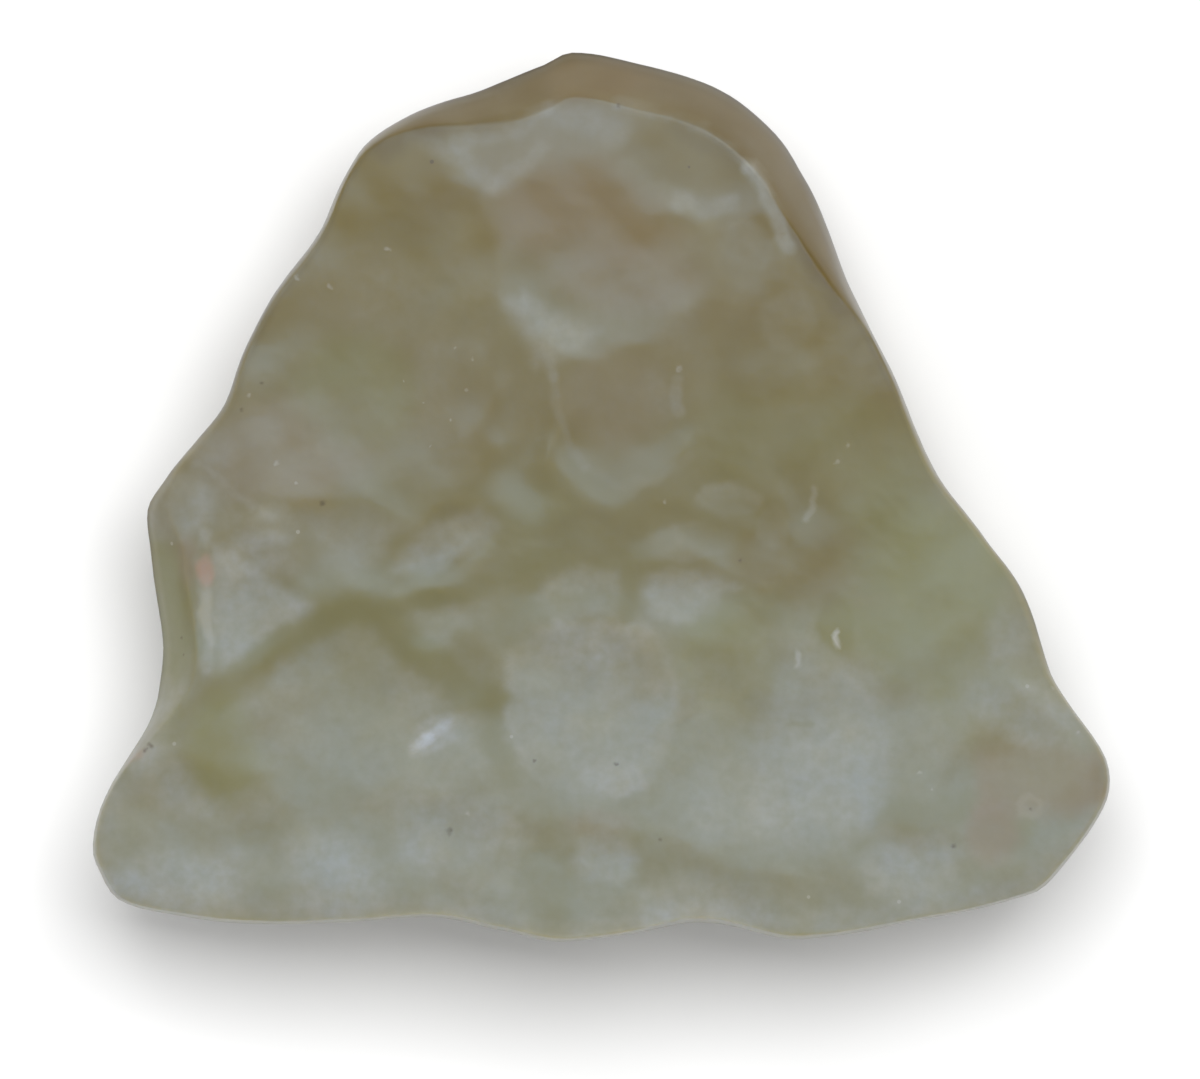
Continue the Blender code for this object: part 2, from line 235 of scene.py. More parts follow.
# The glass scatters light inside. SCATTER_SCALE is in metres, and SCATTER_RADIUS shares it out
# between red, green and blue.
GLASS_IOR = 1.46
SCATTER_WEIGHT = 0.7
SCATTER_RADIUS = (1.0, 0.8, 0.45)
SCATTER_SCALE = 0.0012

# The polished roughness stays high enough for the skin to look waxy.
POLISHED_ROUGHNESS = 0.29
FROSTED_ROUGHNESS = 0.42

# Patterns in the skin are in waves to a metre, and depths in metres. The grain breaks the frost up
# by GRAIN_ON_FROST, and the frost drifts between its two colours by HAZE_CONTRAST.
GRAIN_WAVES = 1900
GRAIN_DEPTH = 0.000010
GRAIN_ON_FROST = 0.9
HAZE_WAVES = 380
HAZE_CONTRAST = 3.0
SOFT_DETAIL = 2.0

# Stray specks: their places in waves to a metre, the size of one as a share of the spacing, and
# the share of the places that hold a pale or a dark one.
SPECK_WAVES = 520
SPECK_REACH = 0.05
PALE_SPECK_SHARE = 0.16
DARK_SPECK_SHARE = 0.06

# How far specks and flecks cover the glass. Flecks are uneven: the places they are measured from
# wander by FLECK_WANDER, in metres.
PALE_COVER = 0.4
DARK_COVER = 0.6
FLECK_WANDER = 0.0004
FLECK_WANDER_WAVES = 2600

# Flecks are dropped onto the stone from this height, in metres.
FLECK_DROP_FROM = 1.0
STRAIGHT_DOWN = Vector((0, 0, -1))

# Places where the body leans to another colour, painted one over the other in this order.
TINTS = {
    OLIVE: (
        Patch("left channel", -12.3, -6.5, 6.8, 2.7, 10, 0.9),
        Patch("left corner", -17.2, -12.1, 2.7, 3.6, 0, 0.9),
        Patch("right heart", 5.8, -6.9, 3.2, 2.7, 0, 0.9),
        Patch("long side", -0.1, -16.4, 14.9, 2.7, 0, 0.7),
        Patch("right wing", 16.2, -8.3, 3.6, 4.1, 0, 0.6),
    ),
    AMBER: (
        Patch("edge of the upper left", -10.6, 14.3, 1.6, 2.9, -20, 0.5, 1.0),
        Patch("right of the brow, foot", 9.8, 11.3, 1.4, 2.7, 24, 0.35, 1.0),
        Patch("foot of the right slope", 16.4, -6.5, 3.4, 3.3, 0, 0.22, 1.0),
        Patch("right wing", 19.4, -10.6, 2.7, 3.8, 0, 0.2, 1.0),
        Patch("left of the wide dish", -15.9, -9.9, 3.2, 2.5, 0, 0.3, 1.0),
        Patch("left corner dish", -18.6, -14.4, 2.7, 2.0, 0, 0.2, 1.0),
        Patch("right of the round cup", 8.6, 5.7, 2.3, 2.0, 0, 0.25, 1.0),
        Patch("foot of the great bowl", 4.5, 10.6, 3.4, 2.0, 0, 0.42, 1.0),
        Patch("upper side of the left hollow", -10.0, 10.0, 2.7, 1.5, 0, 0.25, 1.0),
        Patch("right of the right heart", 9.8, -4.0, 2.2, 1.5, 0, 0.25, 1.0),
        Patch("edge of the left hollow", -5.7, 10.8, 1.1, 2.5, 0, 0.3, 1.0),
        Patch("over the side dish", 6.4, -6.3, 1.4, 1.2, 0, 0.25, 1.0),
        Patch("heart of the left hollow", -12.3, 3.2, 2.7, 1.8, 0, 0.2, 1.0),
        Patch("rim dish", 4.5, 15.7, 3.2, 2.1, 0, 0.6),
        Patch("right of the brow", 9.0, 13.4, 1.4, 2.9, 24, 0.6),
        Patch("left of the brow", -7.8, 15.6, 2.0, 1.8, 0, 0.45),
        Patch("right edge", 10.6, 8.0, 1.8, 4.1, 24, 0.22, 1.0),
        Patch("right heart", 7.1, -2.9, 1.3, 1.3, 0, 0.35),
        Patch("left flank", -13.6, 0.5, 1.8, 1.2, 0, 0.4),
        Patch("right slope", 15.6, -3.0, 2.3, 2.5, 0, 0.35),
        Patch("great bowl", 1.8, 9.3, 2.3, 1.8, 0, 0.25),
    ),
    # The dark brown is partly the body's own colour and partly painted shade: on the bevels of the
    # brow, in the rim dish and along the right edge of the left hollow it stands in for shade.
    DARK_BROWN_AND_SHADE: (
        Patch("right side of the rim dish", 6.6, 14.3, 1.1, 1.5, 24, 0.14, 1.0),
        Patch("right of the brow", 6.7, 11.6, 1.4, 3.0, 0, 0.16, 1.0),
        Stroke("right edge of the left hollow", 0.36, 0.06, (
            (-5.6, 13.6), (-5.1, 10.7), (-4.8, 7.5), (-4.9, 4.4), (-5.0, 2.5),
        )),
        Patch("right flank", 10.0, 12.0, 1.8, 3.2, 20, 0.2),
        Patch("upper left", -9.3, 13.8, 2.7, 3.2, 0, 0.16),
        Patch("bowl", 2.7, 9.5, 2.7, 2.3, 0, 0.16),
        Stroke("bevel of the brow", 1.54, 0.8, (
            (-7.7, 17.4), (-4.6, 18.5), (-1.4, 19.4), (1.8, 19.2), (5.4, 18.0), (7.6, 15.8),
            (9.0, 13.4), (10.6, 10.6),
        )),
        Stroke("right bevel of the brow", 1.27, 0.6, (
            (0.4, 19.4), (2.2, 18.9), (5.4, 17.8), (7.6, 15.7), (9.0, 13.4), (10.3, 11.1),
            (11.2, 8.9),
        )),
        Stroke("left bevel of the brow", 1.08, 0.6, ((-9.8, 16.2), (-8.9, 16.6), (-7.7, 17.2))),
        Patch("floor of the rim dish", 4.2, 15.6, 3.0, 1.9, 0, 0.25),
        Patch("crown of the rim dish", 5.2, 16.3, 2.7, 1.0, -25, 0.3),
        Field("right heart", 0.72, 0.1, (
            (4.5, -0.1), (10.9, 0.4), (11.1, -4.7), (8.1, -5.1), (6.3, -2.9),
        )),
        Patch("heart of the stone", -0.5, -1.8, 2.4, 1.2, 0, 0.16),
        Patch("right of the grey oval", 7.1, -2.9, 1.2, 1.2, 0, 0.14),
        Patch("right of the round cup", 7.0, 6.2, 1.8, 1.9, 0, 0.18, 0.9),
        Patch("right shoulder streaks", 10.5, -5.6, 0.8, 1.2, 0, 0.25),
        Patch("right flank by the edge", 11.2, 7.5, 2.0, 5.0, 24, 0.12, 1.0),
    ),
    ORANGE: (
        Field("great bowl", 1.08, 0.42, (
            (-4.7, 13.8), (-3.2, 14.9), (-0.1, 15.0), (2.2, 13.4), (4.0, 11.6), (1.8, 10.6),
            (-2.8, 11.1), (-4.4, 11.6),
        )),
        Patch("apex", -0.1, 18.8, 2.7, 0.9, 0, 0.3),
        Patch("long side", -0.1, -14.7, 1.5, 0.6, 0, 0.3),
        Field("right corner", 0.54, 0.7, (
            (17.0, -10.3), (18.5, -10.5), (20.3, -11.2), (22.7, -11.6), (22.9, -13.7),
            (21.6, -14.5), (17.0, -14.5),
        )),
        Patch("below the right corner", 17.6, -15.2, 1.2, 1.4, 0, 0.6),
    ),
    PINK: (
        Patch("wall of the great bowl", 1.3, 9.8, 3.2, 1.5, 0, 0.35),
        Patch("round cup", 0.5, 4.4, 2.4, 2.3, 0, 0.15),
        Patch("left hollow", -14.0, 2.2, 4.1, 2.3, 15, 0.4),
        Patch("top of the left wall", -18.7, -2.9, 0.5, 1.2, 0, 0.5),
        Patch("right slope", 12.6, -5.0, 1.0, 0.7, 0, 0.5),
    ),
    GREEN: (
        Patch("left hollow", -11.1, 4.7, 2.7, 2.5, 0, 0.35),
        Field("right slope", 1.18, 0.35, (
            (11.2, 1.2), (13.5, 2.1), (16.2, -2.0), (18.3, -5.6), (16.2, -9.2), (13.5, -9.0),
            (11.2, -6.5),
        )),
        Field("left wall", 0.54, 0.7, (
            (-20.4, -1.5), (-19.0, -2.9), (-18.6, -6.5), (-19.0, -10.1), (-20.4, -11.9),
            (-19.9, -8.3), (-20.0, -4.7),
        )),
    ),
    YELLOW_OLIVE: (
        Patch("edge of the right wing", 19.8, -10.6, 2.5, 3.6, 0, 0.35, 1.0),
        Patch("right flank", 12.4, 1.2, 2.7, 3.6, 28, 0.25),
        Patch("below the right nick", 11.5, -6.3, 2.5, 1.6, 0, 0.7, 1.0),
        Patch("right wing", 17.2, -9.2, 2.5, 2.0, 0, 0.6),
        Patch("right of the frosted disc", 5.5, -7.5, 2.0, 2.3, 0, 0.6),
        Patch("olive corner", -17.1, -11.6, 1.8, 2.5, 0, 0.8),
        Patch("right slope", 15.5, -3.8, 3.0, 3.3, 20, 0.8),
    ),
    STAIN: (
        Patch("left ridge", -17.8, -3.4, 0.4, 0.7, 0, 0.8),
        Patch("left wall", -20.9, -11.8, 0.4, 0.3, 30, 0.6),
    ),
    # Painted highlight: the streak in the right nick is a glint of light painted pale.
    PALE_FLECK_AND_GLINT: (
        Stroke("streak in the right nick", 0.18, 0.2, ((9.5, 0.4), (9.3, -0.4), (9.0, -0.9))),
        Stroke("long streak on the right shoulder", 0.11, 0.7, ((10.6, -6.2), (10.5, -6.8))),
        Stroke("short streak on the right shoulder", 0.11, 0.55, ((8.9, -7.1), (8.9, -7.7))),
    ),
    CREAM: (
        Stroke("crater", 0.18, 0.16, (
            (18.9, -14.0), (19.2, -13.7), (19.7, -13.9), (19.7, -14.3), (19.4, -14.5),
            (19.0, -14.4), (18.9, -14.0),
        )),
        Patch("left ridge", -17.8, -5.6, 0.3, 1.3, 4, 0.5),
    ),
}

# Places where the sand has frosted the skin. Many of these paler marks are also painted sheen: the
# lit left wall of the great bowl, the lines along the brow and its ridge, the crescents in the rim
# dish and round the round cup, the spark in the round cup and the glint are painted highlights.
FROST_AND_SHEEN = (
    Patch("foot of the left hollow, left", -15.5, -2.7, 1.7, 1.0, 0, 0.45, 0.9),
    Patch("foot of the left hollow, right", -11.6, -1.2, 5.0, 0.7, 0, 0.12, 0.9),
    Patch("left shoulder edge", -17.7, 2.1, 1.2, 1.0, 0, 0.2, 0.9),
    Patch("upper side of the left hollow", -11.4, 9.6, 2.0, 2.0, 0, 0.08, 0.9),
    Patch("left shoulder foot", -17.7, -0.6, 1.2, 1.4, 0, 0.18, 0.9),
    Patch("right of the left facet", -17.5, 1.2, 1.1, 1.1, 0, 0.1, 0.9),
    Patch("between the disc and the right dish", 4.7, -8.5, 2.0, 1.4, 0, 0.14, 0.9),
    Patch("over the long-side dishes", -7.5, -14.1, 3.2, 0.9, 0, 0.16, 0.9),
    Patch("left of the olive hem", -4.6, -15.4, 1.7, 0.9, 0, 0.13, 0.9),
    Patch("left edge of the left hollow", -13.6, 2.3, 1.4, 1.0, 0, 0.1, 0.9),
    Patch("left corner edge", -16.3, -16.5, 1.6, 1.4, 0, 0.08, 0.9),
    Patch("right side of the round cup", 3.5, 5.5, 1.4, 2.4, 0, 0.12, 0.9),
    Patch("below the right nick", 10.7, 0.7, 1.4, 1.3, 0, 0.13, 0.9),
    Patch("edge of the right slope", 18.6, -5.5, 1.1, 2.0, -24, 0.15, 0.9),
    Field("brow", 0.36, 0.08, (
        (-7.8, 15.7), (-6.7, 15.1), (-5.0, 13.6), (-3.8, 14.4), (-2.5, 15.1), (0.2, 15.1),
        (1.5, 16.6), (0.9, 17.8), (-2.2, 17.9), (-3.4, 16.8), (-6.0, 16.1),
    )),
    Field("left wall of the great bowl", 0.45, 0.4, (
        (-4.5, 9.1), (-3.5, 9.3), (-2.0, 8.1), (-0.1, 7.5), (-0.5, 6.8), (-2.0, 6.1), (-2.9, 5.9),
        (-3.4, 7.1),
    )),
    Field("floor of the great bowl", 1.18, 0.1, (
        (-3.2, 10.3), (-0.1, 11.0), (3.6, 10.6), (4.2, 8.9), (2.7, 7.5), (-0.1, 7.1), (-1.9, 8.0),
    )),
    Field("left facet", 0.5, 0.44, (
        (-17.5, -2.0), (-15.3, -3.6), (-13.0, -4.8), (-13.8, -6.1), (-15.3, -6.9), (-17.1, -7.8),
        (-17.5, -6.5), (-17.7, -4.2),
    )),
    Field("slant", 0.41, 0.35, (
        (-9.3, -3.4), (-8.6, -2.2), (-7.3, -1.1), (-5.4, -0.5), (-4.7, -1.1), (-5.9, -2.5),
        (-7.7, -3.5),
    )),
    Field("left foot", 0.72, 0.22, (
        (-13.1, -1.3), (-11.8, -1.5), (-10.4, -1.5), (-9.3, -1.3), (-9.6, -2.5), (-11.1, -3.4),
        (-12.4, -2.9),
    )),
    Field("pocket", 0.5, 0.17, (
        (-8.7, -5.0), (-7.3, -4.8), (-5.9, -4.9), (-6.0, -6.0), (-6.9, -6.9), (-8.2, -6.5),
    )),
    Field("wide dish", 0.45, 0.11, (
        (-16.0, -8.8), (-15.3, -7.9), (-13.8, -7.6), (-12.7, -6.5), (-11.3, -6.0), (-9.8, -6.5),
        (-9.0, -7.9), (-7.3, -9.4), (-5.3, -9.9), (-5.3, -12.8), (-9.1, -13.7), (-12.3, -12.4),
        (-15.3, -11.0),
    )),
    Field("left lobe of the wide dish", 0.72, 0.08, (
        (-16.0, -9.2), (-14.1, -8.0), (-12.8, -8.8), (-12.9, -11.0), (-14.5, -11.8), (-15.8, -11.2),
    )),
    Field("frosted disc", 0.27, 0.215, (
        (-4.7, -9.2), (-4.3, -7.4), (-3.2, -6.0), (-1.6, -5.2), (0.5, -5.1), (2.3, -6.0),
        (3.2, -7.4), (3.5, -9.4), (3.2, -11.5), (2.2, -13.2), (0.4, -13.7), (-1.9, -13.4),
        (-3.7, -12.1),
    )),
    Field("mid oval", 0.41, 0.32, (
        (-3.2, -4.7), (-2.4, -3.7), (-0.8, -3.2), (0.5, -3.5), (0.7, -4.7), (-0.1, -5.4),
        (-1.9, -5.7),
    )),
    Field("bright oval", 0.41, 0.39, (
        (1.7, -4.2), (2.2, -3.4), (3.7, -3.3), (5.2, -3.7), (6.1, -4.2), (5.2, -5.1), (3.4, -5.8),
        (2.1, -5.2),
    )),
    Field("right dish", 0.63, 0.2, (
        (8.1, -5.2), (9.0, -4.8), (9.5, -5.2), (10.1, -6.9), (12.0, -8.3), (13.3, -10.1),
        (13.1, -12.8), (12.1, -15.2), (9.4, -16.0), (6.7, -15.4), (6.8, -11.9), (7.5, -9.2),
        (8.1, -7.4),
    )),
    Field("heart of the right dish", 0.81, 0.13, (
        (8.7, -10.7), (10.8, -10.4), (12.6, -11.6), (12.5, -13.7), (11.1, -15.2), (9.3, -14.6),
        (8.4, -12.8),
    )),
    Field("side dish", 0.99, 0.12, (
        (4.0, -11.9), (7.0, -11.5), (9.0, -16.1), (6.3, -15.9), (3.4, -15.6),
    )),
    Field("long-side dish", 0.5, 0.28, (
        (11.6, -16.5), (12.4, -15.4), (14.4, -15.2), (16.2, -15.8), (16.3, -17.4), (14.4, -18.4),
        (12.2, -18.1),
    )),
    Field("left corner", 0.9, 0.38, (
        (-21.4, -16.9), (-20.4, -16.1), (-16.3, -16.1), (-16.1, -18.1), (-18.1, -18.6),
        (-20.8, -18.2),
    )),
    Field("left corner hem", 0.81, 0.34, (
        (-14.2, -15.4), (-12.3, -15.1), (-10.4, -15.8), (-9.8, -17.8), (-10.9, -18.8),
        (-13.8, -18.6),
    )),
    Field("foot oval", 0.63, 0.32, (
        (-9.3, -15.2), (-7.3, -14.9), (-6.8, -16.0), (-7.7, -16.9), (-9.2, -16.5),
    )),
    Patch("top of the frosted disc", -0.5, -6.2, 2.9, 1.4, 0, 0.24, 0.8),
    Patch("left corner dish", -19.9, -14.0, 2.4, 1.4, 0, 0.06),
    Patch("over the left corner dish", -20.1, -12.5, 1.8, 1.2, -30, 0.16, 0.9),
    Patch("right of the left corner dish", -16.7, -14.0, 2.3, 0.8, 0, 0.14, 0.9),
    Patch("foot of the left hollow", -6.4, 1.2, 1.0, 0.9, 0, 0.08),
    Patch("right speck", 7.6, -1.4, 0.7, 1.0, 0, 0.26, 0.5),
    Field("long-side edge of the side dish", 0.54, 0.08, (
        (3.6, -12.9), (7.2, -13.3), (11.5, -15.2), (11.2, -16.3), (7.2, -16.0), (4.0, -15.1),
    )),
    Field("left hem", 0.99, 0.14, (
        (-6.5, -14.1), (-3.7, -14.6), (-3.5, -18.2), (-5.9, -18.9), (-7.3, -17.8),
    )),
    Field("hem dot", 0.36, 0.26, (
        (-1.2, -16.4), (-0.8, -15.4), (0.2, -15.1), (1.2, -15.4), (1.5, -16.4), (0.7, -17.3),
        (-0.6, -17.2),
    )),
    Field("right hem", 0.68, 0.28, (
        (1.6, -17.6), (4.5, -17.2), (7.2, -17.9), (7.6, -19.3), (4.5, -19.6), (1.8, -19.4),
    )),
    Patch("left lobe", -19.4, -0.5, 1.8, 1.5, 30, 0.26, 0.5),
    Patch("left flank", -13.6, 2.5, 6.8, 4.5, 10, 0.1),
    Patch("right of the left hollow", -6.7, 4.8, 1.5, 3.0, 0, 0.08),
    Patch("over the left hollow", -6.4, 8.6, 3.2, 2.4, 0, 0.12),
    Patch("over the left facet", -15.3, -1.5, 1.5, 0.9, 0, 0.18),
    Patch("trough", -3.5, 5.0, 1.0, 2.3, 0, 0.08),
    Patch("round cup", 0.8, 4.4, 2.3, 2.1, 0, 0.09),
    Patch("right upper", 8.4, 7.9, 1.3, 1.3, 0, 0.12, 0.5),
    Patch("foot of the rim dish", 6.5, 11.4, 1.2, 1.0, 0, 0.12, 0.5),
    Patch("grey oval", 3.9, -2.1, 1.9, 0.9, 0, 0.16, 0.4),
    Patch("dot", 5.8, -0.2, 1.3, 0.8, 0, 0.3, 0.5),
    # Painted highlight: the glint and the light round it.
    Patch("heart of the glint", -8.0, -10.9, 0.5, 0.3, 30, 0.5, 0.8),
    Patch("round the glint", -7.6, -10.7, 1.5, 0.8, 34, 0.25, 0.5),
    Patch("foot of the frosted disc", 0.5, -12.7, 1.5, 0.8, 0, 0.2, 0.5),
    Patch("right of the glint", -8.3, -8.6, 1.3, 1.1, 0, 0.08),
    Patch("right wing", 15.7, -9.9, 2.0, 2.3, 0, 0.04, 0.5),
    Patch("head of the right wing", 16.3, -6.5, 1.6, 1.3, 0, 0.1),
    Patch("right of the right dish", 12.1, -8.4, 1.2, 1.2, 0, 0.1),
    Patch("right edge", 19.0, -7.6, 1.0, 2.7, 28, 0.12),
    Patch("over the right corner", 19.4, -9.8, 2.7, 1.4, -20, 0.26),
    Patch("right shoulder", 12.8, 1.2, 1.2, 2.0, 20, 0.07),
    Patch("below the slant", -5.9, -4.9, 1.1, 1.0, 0, 0.1),
    Patch("floor of the left hollow", -10.0, 8.9, 1.8, 2.5, 0, 0.06),
    # Painted highlights and sheen: the glint, the lit lines of the brow and its ridge, the crescents
    # and the spark.
    Stroke("glint", 0.32, 0.55, ((-8.4, -11.2), (-7.7, -10.8), (-6.9, -10.2))),
    Stroke("left tip of the brow", 0.54, 0.18, (
        (-8.6, 16.0), (-7.3, 15.7), (-6.0, 15.2), (-5.0, 14.1),
    )),
    Stroke("right of the left tip of the brow", 0.5, 0.15, (
        (-4.8, 14.0), (-3.9, 14.8), (-2.8, 15.6),
    )),
    Stroke("upper line of the brow", 0.41, 0.18, (
        (-6.6, 16.0), (-5.5, 16.2), (-3.7, 16.7), (-2.3, 17.7),
    )),
    Stroke("middle of the brow", 0.77, 0.16, ((-1.9, 17.4), (-0.5, 16.9), (0.5, 16.3))),
    Stroke("brow ridge", 0.27, 0.18, (
        (0.8, 17.7), (3.3, 17.1), (4.7, 16.6), (5.8, 15.8), (6.7, 14.8),
    )),
    Stroke("right end of the brow ridge", 0.41, 0.42, ((6.7, 14.9), (7.5, 13.3), (8.4, 11.4))),
    Stroke("soft side of the rim dish", 0.59, 0.1, ((1.2, 14.8), (2.2, 14.0), (3.6, 13.3))),
    Stroke("crescent of the rim dish", 0.54, 0.24, ((3.5, 13.3), (4.6, 12.8), (5.7, 13.2))),
    Stroke("tail of the great bowl", 0.36, 0.16, ((-2.5, 6.6), (-2.2, 5.5))),
    Stroke("line round the round cup", 0.27, 0.13, (
        (-2.2, 5.6), (-2.0, 3.9), (-1.6, 2.3), (-0.7, 1.3),
    )),
    Stroke("foot of the round cup", 0.27, 0.07, ((-0.7, 1.2), (0.8, 0.6), (2.7, 0.7), (4.0, 1.8))),
    Stroke("spark in the round cup", 0.32, 0.24, ((3.5, 5.3), (3.4, 3.9))),
    Stroke("left ridge", 0.36, 0.3, (
        (-17.9, -1.6), (-18.0, -2.9), (-18.0, -4.7), (-17.8, -6.5), (-17.9, -7.8),
    )),
    Stroke("left wall", 0.72, 0.3, ((-19.4, -8.8), (-20.1, -10.3), (-20.8, -12.1))),
    Stroke("left corner edge", 0.9, 0.18, ((-22.3, -13.7), (-22.7, -15.8), (-21.8, -17.6))),
    Stroke("long side", 0.68, 0.2, (
        (-22.1, -17.5), (-18.1, -18.6), (-12.5, -18.8), (-7.7, -18.5), (-4.6, -19.1), (-2.1, -19.5),
        (0.4, -19.4), (4.5, -18.8), (8.5, -19.4), (14.4, -18.7), (18.7, -17.7), (20.8, -16.3),
        (22.5, -14.1),
    )),
    Stroke("rim of the frosted disc", 0.23, 0.1, (
        (-4.0, -7.2), (-4.5, -9.2), (-4.1, -11.2), (-2.7, -13.1),
    )),
    Stroke("lip of the frosted disc", 0.63, 0.05, (
        (-3.7, -12.5), (-2.0, -13.7), (-0.1, -14.3), (2.7, -14.5),
    )),
    Stroke("upper crack in the left lobe", 0.18, 0.12, ((-18.3, 1.5), (-17.0, 0.6), (-15.7, -0.5))),
    Stroke("lower crack in the left lobe", 0.18, 0.08, (
        (-16.6, 0.5), (-15.5, -0.5), (-14.7, -1.3),
    )),
)

# Places and channels that kept their polish, where the frosting is taken off. Along the channels and
# on the right slope and corner this is also painted shade, where the skin faces away from the light.
POLISHED_AND_SHADED = (
    Patch("channel over the disc", -0.5, -5.0, 2.6, 0.7, 0, 0.5, 0.9),
    Patch("under the trough", -3.2, -0.9, 1.3, 1.0, 0, 0.5, 0.9),
    Patch("right of the pocket", -3.7, -5.8, 1.1, 1.2, 0, 0.3, 0.9),
    Patch("left end of the channel", -16.1, -8.5, 1.5, 0.8, 30, 0.5, 0.8),
    Patch("left of the disc's lip", -2.5, -13.1, 2.0, 1.2, 0, 0.25, 0.9),
    Patch("hem under the right dish", 9.3, -15.6, 2.7, 0.9, 0, 0.25, 0.9),
    Patch("middle of the wide dish", -12.7, -10.8, 4.1, 2.5, 0, 0.18, 0.9),
    Field("heart of the stone", 0.72, 0.6, (
        (-0.1, -0.2), (1.8, -0.5), (2.2, -1.5), (1.8, -3.2), (1.2, -5.1), (0.8, -3.2), (-1.9, -2.7),
        (-2.8, -1.5),
    )),
    Field("right heart", 0.9, 0.6, (
        (4.0, -0.1), (10.9, 0.4), (11.1, -5.0), (7.9, -6.0), (6.5, -6.5), (5.5, -6.0), (6.5, -4.7),
        (6.5, -3.2), (4.5, -2.7),
    )),
    Field("right slope", 0.72, 0.45, (
        (11.2, 0.7), (13.5, 2.1), (16.2, -2.0), (18.0, -6.0), (15.3, -9.2), (13.1, -8.3),
        (11.2, -6.0),
    )),
    Field("right corner", 0.63, 0.4, (
        (17.0, -11.0), (18.5, -11.2), (20.3, -11.9), (22.7, -12.3), (22.9, -13.7), (21.6, -14.5),
        (17.0, -14.5),
    )),
    Patch("below the right corner", 18.1, -15.2, 1.4, 0.9, 0, 0.7, 0.8),
    Patch("left of the slant", -9.0, -0.2, 1.4, 0.9, 0, 0.5),
    Patch("over the side dish", 6.1, -5.4, 1.4, 0.9, 0, 0.6, 0.8),
    Field("olive corner", 0.81, 0.5, (
        (-18.8, -9.4), (-17.6, -9.0), (-16.5, -9.9), (-15.9, -11.5), (-15.6, -13.3), (-16.8, -13.7),
        (-18.6, -12.8),
    )),
    Patch("left hem channel", -15.6, -15.0, 0.6, 1.5, 0, 0.12, 0.8),
    Patch("olive hem", -2.5, -17.6, 1.3, 2.3, 0, 0.35, 0.6),
    Patch("soft side of the rim dish", 0.4, 13.8, 2.3, 1.2, -20, 0.5),
    Patch("below the rim dish", 5.2, 10.6, 1.4, 0.9, 0, 0.4),
    Patch("upper left", -10.0, 13.8, 2.7, 2.7, 0, 0.7),
    Patch("right of the frosted disc", 5.2, -7.8, 1.6, 2.0, 0, 0.22),
    Patch("middle", -3.7, 0.3, 1.2, 1.5, 0, 0.85),
    Patch("below the right nick", 10.6, -5.7, 0.8, 1.4, 0, 0.8, 0.5),
    Stroke("left channel", 0.81, 0.8, (
        (-17.7, -9.2), (-16.7, -8.4), (-15.0, -7.0), (-13.6, -6.1), (-12.4, -5.3), (-11.0, -5.0),
        (-9.7, -5.3), (-8.6, -6.9), (-6.8, -8.4), (-4.9, -9.1),
    )),
    Stroke("upper channel", 0.59, 0.7, (
        (-9.7, -5.2), (-7.7, -4.6), (-5.4, -3.9), (-3.7, -3.2), (-1.9, -2.2), (-0.1, -1.5),
    )),
    Stroke("gap over the frosted disc", 0.36, 0.6, ((1.0, -2.7), (1.2, -4.7), (1.2, -5.4))),
    Stroke("channel by the frosted disc", 0.54, 0.4, ((-5.1, -9.2), (-4.9, -11.2), (-4.2, -12.8))),
    Stroke("right of the long-side dish", 0.81, 0.42, (
        (13.5, -14.1), (14.9, -14.3), (16.3, -14.0),
    )),
    Stroke("dark hair on the right dish", 0.18, 0.4, ((8.7, -10.2), (9.1, -10.3), (9.5, -10.4))),
)

# Inclusions and chips in the skin: (x, y, reach), in millimetres.
DARK_FLECKS = (
    (0.8, 17.64, 0.14), (-15.33, 5.12, 0.14), (-16.24, 3.85, 0.14), (6.27, -2.88, 0.14),
    (-18.95, -6.41, 0.14), (-18.86, -7.18, 0.11), (-20.35, -11.29, 0.23), (-20.58, -11.47, 0.18),
    (2.66, -15.45, 0.14), (-2.99, -11.92, 0.14), (0.67, -12.01, 0.14), (19.33, -14.18, 0.14),
    (15.9, -15.76, 0.18), (-6.84, -15.09, 0.27), (-12.58, -0.31, 0.23),
)
PALE_FLECKS = (
    (-13.75, 9.86, 0.18), (-12.26, 9.46, 0.16), (-13.75, 0.6, 0.14), (-9.64, 11.18, 0.16),
    (-15.88, 4.58, 0.14), (-5.84, 6.16, 0.16), (3.51, 5.8, 0.23), (11.11, 2.32, 0.16),
    (10.61, 1.55, 0.16), (20.33, -8.62, 0.18), (21.46, -10.61, 0.16), (-6.07, -14.27, 0.18),
    (2.88, -0.26, 0.16), (-14.66, 1.5, 0.18), (-6.61, 6.7, 0.11), (-6.02, 4.76, 0.11),
    (-8.01, 4.26, 0.09), (-6.75, 3.4, 0.11), (-7.7, 2.27, 0.11), (-8.87, 5.25, 0.09),
    (14.36, -12.46, 0.16), (14.9, -13.19, 0.11),
)


class Scoop(NamedTuple):
    """A dish that the wind wore into the stone.

    lean above 0 puts the deepest place nearer the dish's -Y end, which makes that end steeper.
    """

    name: str
    x: float
    y: float
    half_width: float
    half_length: float
    turn: float
    depth: float
    lean: float


class Chamfer(NamedTuple):
    """A stretch of the edge where the bevel is wide and straight, seen from STAR_CENTRE.

    It keeps its full width over half_span to each side of bearing, and runs out over fade.
    """

    bearing: float
    half_span: float
    fade: float
    width: float


class WallDish(NamedTuple):
    """A shallow dish in the wall, seen from STAR_CENTRE in the direction of bearing."""

    bearing: float
    height: float
    half_width: float
    half_height: float
    depth: float


# The brow at the apex, and the notch in the left side.
CHAMFERS = (
    Chamfer(82, 15, 24, 2.1),
    Chamfer(182, 8, 12, 1.6),
)
CHAMFER_SLANT = 1.25
CHAMFER_SQUARE = 1.25

